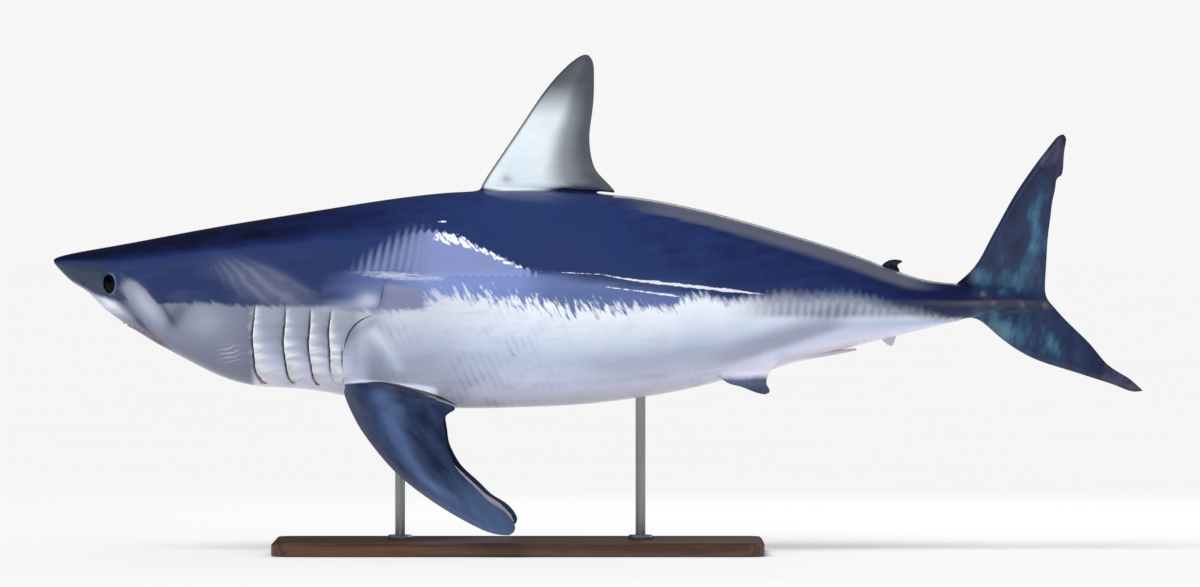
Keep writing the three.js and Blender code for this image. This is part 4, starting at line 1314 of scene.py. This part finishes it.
# %% Colours
def linear(hex_colour):
    """An sRGB hex colour as linear red, green, blue and alpha."""
    parts = [int(hex_colour[k : k + 2], 16) / 255 for k in (1, 3, 5)]
    return tuple(p / 12.92 if p <= 0.04045 else ((p + 0.055) / 1.055) ** 2.4 for p in parts) + (1.0,)


def new_material(name, **fixed):
    """A material with a Principled shader, whose fixed sockets are set by name."""
    material = bpy.data.materials.new(name)
    material.use_nodes = True
    shader = material.node_tree.nodes["Principled BSDF"]
    for key, value in fixed.items():
        shader.inputs[key.replace("_", " ")].default_value = value
    return material, material.node_tree, shader.inputs


def scaled(tree, millimetres, lean=0):
    """Object coordinates, leant by some degrees, in which a unit is so many millimetres along each axis."""
    place = add(tree, "ShaderNodeTexCoord", out="Object")
    metres = tuple(mm / 1000 for mm in millimetres)
    return add(tree, "ShaderNodeMapping", {
        "Vector": place, "Rotation": (0, math.radians(lean), 0), "Scale": metres,
    }, vector_type="TEXTURE")


# %% [markdown]
# Wet shark skin: tiny tooth-like scales, far too fine to see, under a film of water. The eye sees soft blue
# and white with a thin sharp gloss on top, so the shader is a half-rough base with a smooth clear coat. The
# colours are mixed by the masks; noise with the right stretch makes the ragged edge and the muscle bands.

# %% Skin material
material, tree, shader = new_material(
    "wet_mako_skin", Coat_Weight=0.55, Coat_Roughness=0.13, Coat_IOR=1.4, Specular_IOR_Level=0.15,
)
mask = {name: add(tree, "ShaderNodeAttribute", out="Fac", attribute_name=name) for name in MASKS}
MIX = {"out": 2, "data_type": "RGBA"}
SMOOTH = {"interpolation_type": "SMOOTHSTEP"}
print("skin masks in the shader:", len(mask))

# %% Noises of the skin: size in mm along each axis, lean in degrees, detail and roughness
NOISES = {
    "mottle": ((60, 60, 40), 0, 4.0, 0.55),  # soft patches everywhere
    "clouds": ((70, 70, 16), -5, 5.0, 0.6),  # long stains, more than tall
    "fingers": ((7, 40, 27), -32, 2.5, 0.55),  # slanting fingers at the blue's lower edge
    "oblique": ((60, 90, 45), -27, 2.0, 0.5),  # muscles that show through the white
    "crinkle": ((34, 34, 11), -8, 1.6, 0.45),  # loose skin round the gills
    # painted wet glints, and speckles
    "wet_glint": ((5, 30, 15), -35, 3.0, 0.6),  # white flecks
    "wobble": ((14, 14, 5), -4, 3.0, 0.65),  # unsteady outlines
    "tail_spots": ((26, 26, 60), 14, 4.0, 0.6),  # light along the rays of the tail
    # streaks in the pectoral fin's painted highlight
    "fin_streaks": ((20, 40, 90), -36, 4.0, 0.6),  # light along the pectoral fin
}
noise = {}
for name, (size, lean, detail, roughness) in NOISES.items():
    noise[name] = add(tree, "ShaderNodeTexNoise", {
        "Vector": scaled(tree, size, lean), "Scale": 1.0, "Detail": detail, "Roughness": roughness,
    })
mottle, clouds, wobble = noise["mottle"], noise["clouds"], noise["wobble"]

# %% Waves of the skin: spacing in mm, lean in degrees, direction, distortion, detail and its scale
WAVES = {
    "blocks": (16.5, 9, "X", 4.5, 2.0, 0.35),  # a comb of muscle blocks at the blue's edge
    "bands": (14.5, -24, "X", 1.6, 1.0, 0.6),  # bands across the muscles
    "wrinkles": (8.5, -12, "Z", 8.0, 2.0, 0.7),  # fine wrinkles ahead of the gills
    # ribs in the dome's painted reflection
    "ribs": (15.5, 10, "X", 1.2, 1.0, 0.7),  # ribs ahead of the dome
}
BAND_AT_1 = 2 * math.pi / 20  # units from one band of a wave texture to the next at scale 1
wave = {}
for name, (spacing, lean, direction, distortion, detail, detail_scale) in WAVES.items():
    wave[name] = add(tree, "ShaderNodeTexWave", {
        "Vector": scaled(tree, (1000, 1000, 1000), lean), "Scale": BAND_AT_1 / (spacing / 1000),
        "Distortion": distortion, "Detail": detail, "Detail Scale": detail_scale,
    }, out="Fac", bands_direction=direction)

# %% [markdown]
# The blue ends in fingers and in a comb of muscle blocks. Its edge is a distance in millimetres to which
# the noises are added, each as far as its mask allows, before a smooth threshold turns it into a share of
# blue. The darkness of the blue is a mask with stains, read on a colour ramp from the pale band to the
# nearly black top of the head. A second ramp holds the white, from just under the blue down to the belly;
# it greys with painted shade halfway down the side.

# %% Where the skin is blue, and how dark
fingers = add(tree, "ShaderNodeMapRange", {
    "Value": noise["fingers"], 1: 0.3, 2: 0.7, 3: -1.0, 4: 1.0,
}, clamp=False)
teeth_of_comb = add(tree, "ShaderNodeMapRange", {"Value": wave["blocks"], 1: 0.0, 2: 1.0, 3: -2.5, 4: 2.5})
edge, dark, tail_light, slate_highlight_and_pale = (mask[name] for name in ("blue", "navy", "tail_light", "slate_highlight_and_pale"))
for added, by in ((fingers, mask["ragged"]), (teeth_of_comb, mask["comb"]), (mottle, 18.0)):
    edge = add(tree, "ShaderNodeMath", {0: added, 1: by, 2: edge}, operation="MULTIPLY_ADD")
for added, by in ((mottle, 0.2), (clouds, 0.45)):
    dark = add(tree, "ShaderNodeMath", {0: added, 1: by, 2: dark}, operation="MULTIPLY_ADD")
tail_light = add(tree, "ShaderNodeMath", {
    0: noise["tail_spots"], 1: 1.1, 2: tail_light,
}, operation="MULTIPLY_ADD")
slate_highlight_and_pale = add(tree, "ShaderNodeMath", {
    0: noise["fin_streaks"], 1: 0.8, 2: slate_highlight_and_pale,
}, operation="MULTIPLY_ADD")
# A noise is about a half on average; all or most of what that adds is taken away again.
edge, dark, tail_light, slate_highlight_and_pale = (
    add(tree, "ShaderNodeMath", {0: level, 1: surplus}, operation="SUBTRACT")
    for level, surplus in ((edge, 9.0), (dark, 0.325), (tail_light, 0.3), (slate_highlight_and_pale, 0.28))
)
edge = add(tree, "ShaderNodeMath", {0: edge, 1: mask["soft"]}, operation="DIVIDE")
is_blue = add(tree, "ShaderNodeMapRange", {"Value": edge, 1: -1.0, 2: 1.0}, **SMOOTH)

# %% Colour ramps: what each is read by, and its hues from end to end
RAMPS = {
    "blue": (dark, (
        (0, "#384775"), (0.22, "#26355f"), (0.45, "#213467"), (0.7, "#172350"), (0.86, "#101a44"),
        (1, "#0b102b"),
    )),
    # the white greys halfway down the side with painted shade and is lighter again at the belly
    "white": (mask["down"], (
        (0, "#ecf2fb"), (0.3, "#d6e0f0"), (0.55, "#c0cde8"), (0.82, "#e4e7ff"), (1, "#ece8f8"),
    )),
    "tail": (tail_light, (
        (0, "#42425a"), (0.25, "#1c2340"), (0.6, "#243656"), (0.8, "#345a78"), (1, "#557689"),
    )),
}
ramp = {}
for name, (level, hues) in RAMPS.items():
    made = add(tree, "ShaderNodeValToRGB", {"Fac": level}, out=None)
    stops = made.color_ramp.elements
    for place, hue in hues:
        stop = stops[0] if place == 0 else stops[-1] if place == 1 else stops.new(place)
        stop.color = linear(hue)
    ramp[name] = made.outputs[0]

# %% [markdown]
# The marks that are finer than the mesh start from smooth masks too. A wave or a noise times a mask gives a
# texture that fades out where the mask does. A distance plus a noise, put through a smooth threshold, gives
# an outline that wobbles. Each mark ends as a share from 0 to 1.

# %% Marks, painted highlights and the ribs of a painted reflection, made of waves and noises
# Painted highlights along the throat's fine wrinkles.
narrow = add(tree, "ShaderNodeMath", {0: wave["wrinkles"], 1: 3.0}, operation="POWER")
gill_highlight_and_shade = add(tree, "ShaderNodeMath", {0: mask["lip_highlight"], 1: mask["hollow_shade"]})
product = {}
for name, first, second in (
    ("wrinkle_highlight", narrow, mask["wrinkled"]),
    ("gills", noise["crinkle"], gill_highlight_and_shade),
    ("comb", wave["blocks"], mask["comb"]),
    ("ribs", wave["ribs"], mask["ribbed_reflection"]),
    ("wet_glint", noise["wet_glint"], mask["glints_and_speckles"]),
):
    product[name] = add(tree, "ShaderNodeMath", {0: first, 1: second}, operation="MULTIPLY")
wrinkle_highlight, crinkle, rib_reflection = product["wrinkle_highlight"], product["gills"], product["ribs"]
# Light patches of painted highlight over the crumpled gill skin, where the gills carry painted highlight and
# shade.
crinkle_highlight = add(tree, "ShaderNodeMapRange", {"Value": crinkle, 1: 0.2, 2: 0.52, 3: 0.0, 4: 0.6})
oblique_share = add(tree, "ShaderNodeMapRange", {"Value": noise["oblique"], 1: 0.44, 2: 0.7, 3: 0.0, 4: 0.75})
bands = add(tree, "ShaderNodeMapRange", {"Value": wave["bands"], 1: 0.0, 2: 1.0, 3: 0.35, 4: 1.0})
for factor in (bands, mask["muscle"]):
    oblique_share = add(tree, "ShaderNodeMath", {0: oblique_share, 1: factor}, operation="MULTIPLY")

# %% Outlines in millimetres: what wobbles, by how much, round which mask
outline = {}
for name, wobbling, by in (("dome_reflection", wave["blocks"], 7.0), ("tongue_highlight", wobble, 12.0), ("patch", wobble, 16.0)):
    outline[name] = add(tree, "ShaderNodeMath", {0: wobbling, 1: by, 2: mask[name]}, operation="MULTIPLY_ADD")
fan_phase = add(tree, "ShaderNodeMath", {0: mottle, 1: 14.0, 2: mask["fan"]}, operation="MULTIPLY_ADD")
FAN_DEGREES = 10.2  # from one ridge of the fan to the next
fan_wave = add(tree, "ShaderNodeMath", {0: fan_phase, 1: 2 * math.pi / FAN_DEGREES}, operation="MULTIPLY")
fan_wave = add(tree, "ShaderNodeMath", {0: fan_wave}, operation="SINE")

# %% Smooth thresholds: what is read, where the share starts and ends, and the least and the greatest share
THRESHOLDS = {
    # edges of the dome's painted reflection
    "dome_reflection_edge": (outline["dome_reflection"], 0.5, 6.5, 0.0, 0.85),
    "dome_reflection_soft": (mask["dome_reflection"], -6.0, 34.0, 0.0, 0.7),
    # painted highlight along the dome's lower edge
    "tongue_highlight": (outline["tongue_highlight"], 5.0, 12.0, 0.0, 0.7),
    "patch": (outline["patch"], 5.0, 14.0, 0.0, 1.0),
    # painted glints and speckles
    "glints_and_speckles": (product["wet_glint"], 0.38, 0.46, 0.0, 1.0),
    "fan": (fan_wave, -0.6, 1.0, 0.42, 0.68),
    "stain": (clouds, 0.5, 0.72, 0.0, 0.55),
    "flesh": (mask["flesh"], -0.4, 1.0, 0.0, 1.0),
    # painted shade in the slits, the mouth and the nostrils
    "deep": (mask["inside"], 0.4, 1.0, 0.0, 1.0),
}
# The thin lines: half their width less the distance from them, made ragged.
for line, half_name, raggedness in (
    ("gleam", "gleam_half", 7.0), ("gleam_low", "gleam_low_half", 7.0), ("crease", "crease_shade_and_marks_half", 1.6),
):
    off_line = add(tree, "ShaderNodeMath", {0: mask[line]}, operation="ABSOLUTE")
    within = add(tree, "ShaderNodeMath", {0: mask[half_name], 1: off_line}, operation="SUBTRACT")
    within = add(tree, "ShaderNodeMath", {0: wobble, 1: raggedness, 2: within}, operation="MULTIPLY_ADD")
    THRESHOLDS[line] = (within, raggedness / 2 - 0.2, raggedness / 2 + 1.0, 0.0, 0.9)
share = {}
for name, (level, start, end, least, greatest) in THRESHOLDS.items():
    share[name] = add(tree, "ShaderNodeMapRange", {
        "Value": level, 1: start, 2: end, 3: least, 4: greatest,
    }, **SMOOTH)
dome_reflection_share = {0: mask["dome_reflection_fade"], 2: share["dome_reflection_soft"], 3: share["dome_reflection_edge"]}
dome_reflection_share = add(tree, "ShaderNodeMix", dome_reflection_share, out=0)
fan_share = add(tree, "ShaderNodeMath", {0: share["fan"], 1: mask["ridged"]}, operation="MULTIPLY")
flesh_depth = add(tree, "ShaderNodeMapRange", {"Value": mask["flesh"], 1: 1.0, 2: 6.0})
print("marks with a smooth threshold:", len(share))

# %% Tones that change between two hues
TONES = {
    # the grey and painted shade over the white, striped by the muscle blocks
    "grey_and_shade": (product["comb"], "#777c92", "#939dae"),
    # the dome's painted reflection
    "dome_reflection": (mask["dome_reflection_fade"], "#6a78a6", "#8795c8"),
    "fin_grey": (mottle, "#2c2f3d", "#4a4e5c"),
    "snout": (mottle, "#2a3945", "#333e58"),
    # slate blue, lighter in the pectoral fin's painted highlight
    "slate": (slate_highlight_and_pale, "#17223e", "#4d628a"),
    # the first dorsal fin's painted glare
    "dorsal_glare": (mottle, "#eef8fb", "#c9d6e4"),
    "flesh": (flesh_depth, "#5a2633", "#b98088"),
}
tone = {}
for name, (level, first, second) in TONES.items():
    tone[name] = add(tree, "ShaderNodeMix", {0: level, 6: linear(first), 7: linear(second)}, **MIX)
# Painted sheen lightens the blue on the band under the lateral line.
blue_colour = add(tree, "ShaderNodeMix", {0: mask["sheen"], 6: ramp["blue"], 7: linear("#768bc6")}, **MIX)
blue_colour = add(tree, "ShaderNodeMix", {0: mask["slate"], 6: blue_colour, 7: tone["slate"]}, **MIX)

# %% Lay the tints over each other, from the ground colour to the finest marks; many are painted highlights, reflections and shade
colour = ramp["white"]
for covering, tint in (
    (share["stain"], linear("#c9cfe3")),
    (oblique_share, linear("#aab6d2")),
    # grey and painted shade over the white, lifted by painted highlight over the swellings
    (mask["grey_and_shade"], tone["grey_and_shade"]),
    # painted shade ahead of the gill slits
    (mask["hollow_shade"], linear("#62667b")),
    # painted highlights on the crumpled gill skin
    (crinkle_highlight, linear("#c9cedb")),
    # painted highlights along the throat's wrinkles
    (wrinkle_highlight, linear("#d3d7e2")),
    # painted highlights on the gill lips and under the eye
    (mask["lip_highlight"], linear("#e9edf6")),
    (is_blue, blue_colour),
    (mask["haze"], linear("#b9bccd")),
    (share["patch"], linear("#7a80a2")),
    (mask["snout"], tone["snout"]),
    (mask["teal"], ramp["tail"]),
    # grey of the pelvic fin and the pectoral's front edge, and the painted sheen along the back's ridge
    (mask["grey"], linear("#5d6171")),
    (fan_share, linear("#7b8098")),
    # the dome's painted reflection
    (dome_reflection_share, tone["dome_reflection"]),
    # ribs in the dome's painted reflection
    (rib_reflection, linear("#868fb4")),
    # painted highlight along the dome's lower edge
    (share["tongue_highlight"], linear("#c3c9e2")),
    # painted glints on the shoulder and speckles along the blue's edge
    (share["glints_and_speckles"], linear("#eef1fa")),
    # two painted highlights along the lateral line
    (share["gleam"], linear("#e3e7f4")),
    (share["gleam_low"], linear("#dfe4f2")),
    (mask["fin_grey"], tone["fin_grey"]),
    # painted glare on the first dorsal fin
    (mask["dorsal_glare"], tone["dorsal_glare"]),
    (mask["shade"], linear("#3a3f55")),
    (mask["rim"], linear("#8d94aa")),
    (mask["pink"], linear("#ab858c")),
    (share["flesh"], tone["flesh"]),
    # painted shade in creases and at the pectoral's root; the lateral line and scratches
    (share["crease"], linear("#171923")),
    # painted shade inside the slits, the mouth and the nostrils
    (share["deep"], linear("#1d1822")),
):
    colour = add(tree, "ShaderNodeMix", {0: covering, 6: colour, 7: tint}, **MIX)
tree.links.new(colour, shader["Base Color"])

# %% Roughness and fine relief of the skin
rough = add(tree, "ShaderNodeMapRange", {"Value": mottle, 3: 0.32, 4: 0.5})
tree.links.new(rough, shader["Roughness"])
# The scales are a fifth of a millimetre across; they are drawn ten times coarser, or nothing would show.
grain = add(tree, "ShaderNodeTexNoise", {"Vector": scaled(tree, (2, 2, 2)), "Scale": 1.0, "Detail": 2.0})
bump = add(tree, "ShaderNodeBump", {"Strength": 0.12, "Distance": 0.0006, "Height": grain}, out="Normal")
# Strength, depth in metres and height of the coarser layers.
for strength, depth, layer in (
    (0.35, 0.0012, rib_reflection), (0.2, 0.002, oblique_share), (0.7, 0.0016, wrinkle_highlight), (0.8, 0.009, crinkle),
    (0.3, 0.004, clouds),
):
    bump = add(tree, "ShaderNodeBump", {
        "Strength": strength, "Distance": depth, "Height": layer, "Normal": bump,
    }, out="Normal")
tree.links.new(bump, shader["Normal"])
skin.data.materials.append(material)

# %% [markdown]
# The eye is a black pupil in an iris hardly lighter, under a clear wet cornea: the sharp highlight is what
# makes it look alive. The teeth are enamel, a milky glassy coating over yellower dentine.

# %% Eye and tooth materials
CORNEA_IOR, ENAMEL_IOR = 1.376, 1.62
material, tree, shader = new_material(
    "wet_black_eye", Roughness=0.3, Specular_IOR_Level=0.05, Coat_Weight=0.25, Coat_Roughness=0.02,
    Coat_IOR=CORNEA_IOR,
)
off_axis = add(tree, "ShaderNodeAttribute", out="Fac", attribute_name="off_axis")
iris_noise = add(tree, "ShaderNodeTexNoise", {
    "Vector": scaled(tree, (1.2, 1.2, 1.2)), "Scale": 1.0, "Detail": 3.0,
})
iris_edge = add(tree, "ShaderNodeMapRange", {"Value": off_axis, 1: 36.0, 2: 40.0})
rim_edge = add(tree, "ShaderNodeMapRange", {"Value": off_axis, 1: 62.0, 2: 74.0})
iris = add(tree, "ShaderNodeMix", {0: iris_noise, 6: linear("#04050a"), 7: linear("#0c0e18")}, **MIX)
iris = add(tree, "ShaderNodeMix", {0: iris_edge, 6: linear("#020204"), 7: iris}, **MIX)
iris = add(tree, "ShaderNodeMix", {0: rim_edge, 6: iris, 7: linear("#08090d")}, **MIX)
tree.links.new(iris, shader["Base Color"])
for eye in eyes:
    eye.data.materials.append(material)

enamel, tree, shader = new_material(
    "tooth_enamel", Roughness=0.22, Coat_Weight=0.4, Coat_Roughness=0.08, IOR=ENAMEL_IOR,
)
stain = add(tree, "ShaderNodeTexNoise", {"Vector": scaled(tree, (5, 5, 5)), "Scale": 1.0, "Detail": 3.0})
ivory = add(tree, "ShaderNodeMix", {0: stain, 6: linear("#f1eee2"), 7: linear("#cfc5a4")}, **MIX)
tree.links.new(ivory, shader["Base Color"])

# %% Grow the teeth
seed_mesh = bpy.data.meshes.new("teeth")
seed_mesh.from_pydata((feet / 1000).tolist(), [], [])
lean_data = seed_mesh.attributes.new("lean", "FLOAT_VECTOR", "POINT").data
lean_data.foreach_set("vector", leans.astype(np.float32).ravel())
size_data = seed_mesh.attributes.new("size", "FLOAT", "POINT").data
size_data.foreach_set("value", sizes.astype(np.float32))
rows_of_feet = bpy.data.objects.new("tooth_feet", seed_mesh)
bpy.context.scene.collection.objects.link(rows_of_feet)
modifier = rows_of_feet.modifiers.new("teeth", "NODES")
modifier.node_group = tooth_tree
sockets = {item.name: item.identifier for item in tooth_tree.interface.items_tree if item.in_out == "INPUT"}
for label, value in {**TOOTH, "Enamel": enamel}.items():
    modifier[sockets[label]] = value
evaluated = rows_of_feet.evaluated_get(bpy.context.evaluated_depsgraph_get())
teeth = bpy.data.objects.new("teeth", bpy.data.meshes.new_from_object(evaluated))
bpy.data.objects.remove(rows_of_feet)
bpy.context.scene.collection.objects.link(teeth)
print("teeth:", len(teeth.data.vertices), "points", len(teeth.data.polygons), "faces")

# %% [markdown]
# ## Stand
# The stand keeps the frame's solids: a plain board of stained walnut, oiled to a satin finish, and two
# round rods of brushed stainless steel with turned collars. Only their materials are made here.

# %% Stand materials
walnut, tree, shader = new_material("oiled_walnut", Coat_Weight=0.2, Coat_Roughness=0.3)
board_place = add(tree, "ShaderNodeTexCoord", out="Object")
ring_place = add(tree, "ShaderNodeMapping", {
    "Vector": board_place, "Location": (0, 0.31, 0.11), "Scale": (0.35, 7.0, 7.0),
})
rings = add(tree, "ShaderNodeTexWave", {
    "Vector": ring_place, "Scale": 7.0, "Distortion": 5.0, "Detail": 3.0, "Detail Scale": 1.4,
}, out="Fac", wave_type="RINGS", rings_direction="X")
pores = add(tree, "ShaderNodeTexNoise", {"Vector": scaled(tree, (26, 0.8, 0.8)), "Scale": 1.0, "Detail": 3.0})
wood = add(tree, "ShaderNodeMix", {0: rings, 6: linear("#3a2416"), 7: linear("#5b3a24")}, **MIX)
pore_share = add(tree, "ShaderNodeMapRange", {"Value": pores, 1: 0.52, 2: 0.75, 3: 0.0, 4: 0.6})
wood = add(tree, "ShaderNodeMix", {0: pore_share, 6: wood, 7: linear("#21130b")}, **MIX)
tree.links.new(wood, shader["Base Color"])
tree.links.new(add(tree, "ShaderNodeMapRange", {"Value": pores, 3: 0.36, 4: 0.55}), shader["Roughness"])
pore_bump = add(tree, "ShaderNodeBump", {"Strength": 0.2, "Distance": 0.0004, "Height": pores}, out="Normal")
tree.links.new(pore_bump, shader["Normal"])

steel, tree, shader = new_material("brushed_stainless_steel", Metallic=1.0)
brushing = add(tree, "ShaderNodeTexNoise", {
    "Vector": scaled(tree, (0.7, 0.7, 60)), "Scale": 1.0, "Detail": 2.0,
})
metal = add(tree, "ShaderNodeMix", {0: brushing, 6: linear("#b9bcc0"), 7: linear("#8f9398")}, **MIX)
tree.links.new(metal, shader["Base Color"])
tree.links.new(add(tree, "ShaderNodeMapRange", {"Value": brushing, 3: 0.24, 4: 0.42}), shader["Roughness"])
brush_bump = add(tree, "ShaderNodeBump", {
    "Strength": 0.15, "Distance": 0.0002, "Height": brushing,
}, out="Normal")
tree.links.new(brush_bump, shader["Normal"])
for name, node in frame["nodes"].items():
    if name.startswith("stand_"):
        node.data.materials.clear()
        node.data.materials.append(walnut if name == "stand_base" else steel)

# %% [markdown]
# ## Put the pieces on the frame
# Every piece rides on the one body; the skin and the eyes hide the solids of the frame that they stand for.

# %% Ride and replace
EYE_NODES = ("eye_left", "eye_right")
flesh = [name for name in frame["nodes"] if not name.startswith("stand_") and name not in EYE_NODES]
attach(skin, "root")
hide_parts(*flesh)
for eye, node in zip(eyes, EYE_NODES):
    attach(eye, "root")
    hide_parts(node)
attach(teeth, "root")
print("the skin stands for", len(flesh), "solids")

# %% [markdown]
# ## Floor, light and camera
# A pale floor runs out to the horizon, where it meets a sky of the same tone. The model is lit as glossy
# things are: by a broad soft sun and by large panels whose shapes show in the wet skin. One behind the tail
# draws the bright line along the ridge of the back, a long one in front lies as a sheen on the lateral
# line, and what the gloss sees elsewhere is a dim studio.

# %% Floor
FLOOR_RADIUS = 60.0
floor_mesh = bpy.data.meshes.new("floor")
corners = [k * math.pi / 24 for k in range(48)]
rim_points = [(FLOOR_RADIUS * math.cos(a), FLOOR_RADIUS * math.sin(a), 0) for a in corners]
floor_mesh.from_pydata(rim_points, [], [range(48)])
floor = bpy.data.objects.new("floor", floor_mesh)
bpy.context.scene.collection.objects.link(floor)
material, tree, shader = new_material("matt_studio_paint", Specular_IOR_Level=0.0)
dust = add(tree, "ShaderNodeTexNoise", {"Vector": scaled(tree, (900, 900, 900)), "Scale": 1.0, "Detail": 2.0})
FLOOR_TONE = 0.88
paint = [(tone, tone, tone, 1) for tone in (FLOOR_TONE, FLOOR_TONE - 0.01)]
paint = add(tree, "ShaderNodeMix", {0: dust, 6: paint[0], 7: paint[1]}, **MIX)
tree.links.new(paint, shader["Base Color"])
tree.links.new(add(tree, "ShaderNodeMapRange", {"Value": dust, 3: 0.8, 4: 0.9}), shader["Roughness"])
floor.data.materials.append(material)

# %% World: for the eye the same tone as the far floor, soft light for the rest, dim in the gloss
world = bpy.data.worlds.new("studio")
bpy.context.scene.world = world
world.use_nodes = True
tree = world.node_tree
tree.nodes.clear()
ray = add(tree, "ShaderNodeLightPath", out=None).outputs
SKY, SUN, SUN_HEIGHT = 0.62, 1.75, math.radians(50)
far_floor = FLOOR_TONE * (SKY + SUN * math.sin(SUN_HEIGHT) / math.pi)
by_gloss = {0: ray["Is Glossy Ray"], 6: (SKY, SKY, SKY, 1), 7: (0.05, 0.055, 0.075, 1)}
by_gloss = add(tree, "ShaderNodeMix", by_gloss, **MIX)
seen = {0: ray["Is Camera Ray"], 6: by_gloss, 7: (far_floor, far_floor, far_floor, 1)}
seen = add(tree, "ShaderNodeMix", seen, **MIX)
backdrop = add(tree, "ShaderNodeBackground", {"Color": seen, "Strength": 1.0})
add(tree, "ShaderNodeOutputWorld", {"Surface": backdrop}, out=None)


# %% Light panels
def panel(name, place, aim, size, radiance):
    """A soft rectangular light that shines towards aim; radiance is its brightness as seen in the gloss."""
    light = bpy.data.lights.new(name, "AREA")
    light.shape, light.size, light.size_y = "RECTANGLE", size[0], size[1]
    light.energy = radiance * math.pi * size[0] * size[1]
    lamp = bpy.data.objects.new(name, light)
    way = np.array(aim, float) - np.array(place, float)
    flat_way = math.hypot(way[0], way[1])
    lamp.location = place
    lamp.rotation_euler = (math.atan2(flat_way, -way[2]), 0, math.atan2(-way[0], way[1]))
    lamp.visible_camera = False
    bpy.context.scene.collection.objects.link(lamp)
    print(name, "puts out", round(light.energy), "W")


key = bpy.data.lights.new("key", "SUN")
key.energy, key.angle = SUN, math.radians(28)
key_lamp = bpy.data.objects.new("key", key)
key_lamp.rotation_euler = (math.radians(90) - SUN_HEIGHT, 0, math.radians(-32))
key_lamp.visible_glossy = False
bpy.context.scene.collection.objects.link(key_lamp)
panel("rear_strip", (1.1, 2.6, 1.9), aim=(0.5, 0, 0.6), size=(2.2, 0.5), radiance=2.5)
panel("front_strip", (-0.1, -3.0, 1.13), aim=(-0.1, 0, 0.55), size=(2.4, 0.4), radiance=1.7)

# %% Camera: level with the shark and far off, so that near and far fins line up
camera_data = bpy.data.cameras.new("camera")
DISTANCE, VIEW_WIDTH, LIFT, SENSOR = 18.0, 2.4, math.radians(0.8), 36
camera_data.sensor_width = SENSOR
camera_data.lens = SENSOR * DISTANCE / VIEW_WIDTH
camera_data.clip_end = 200
camera = bpy.data.objects.new("camera", camera_data)
aim = (0.003, 0.0, 0.52)
camera.location = (aim[0], -DISTANCE * math.cos(LIFT), aim[2] + DISTANCE * math.sin(LIFT))
camera.rotation_euler = (math.radians(90) - LIFT, 0, 0)
bpy.context.scene.collection.objects.link(camera)
bpy.context.scene.camera = camera
bpy.context.scene.view_settings.view_transform = "Standard"
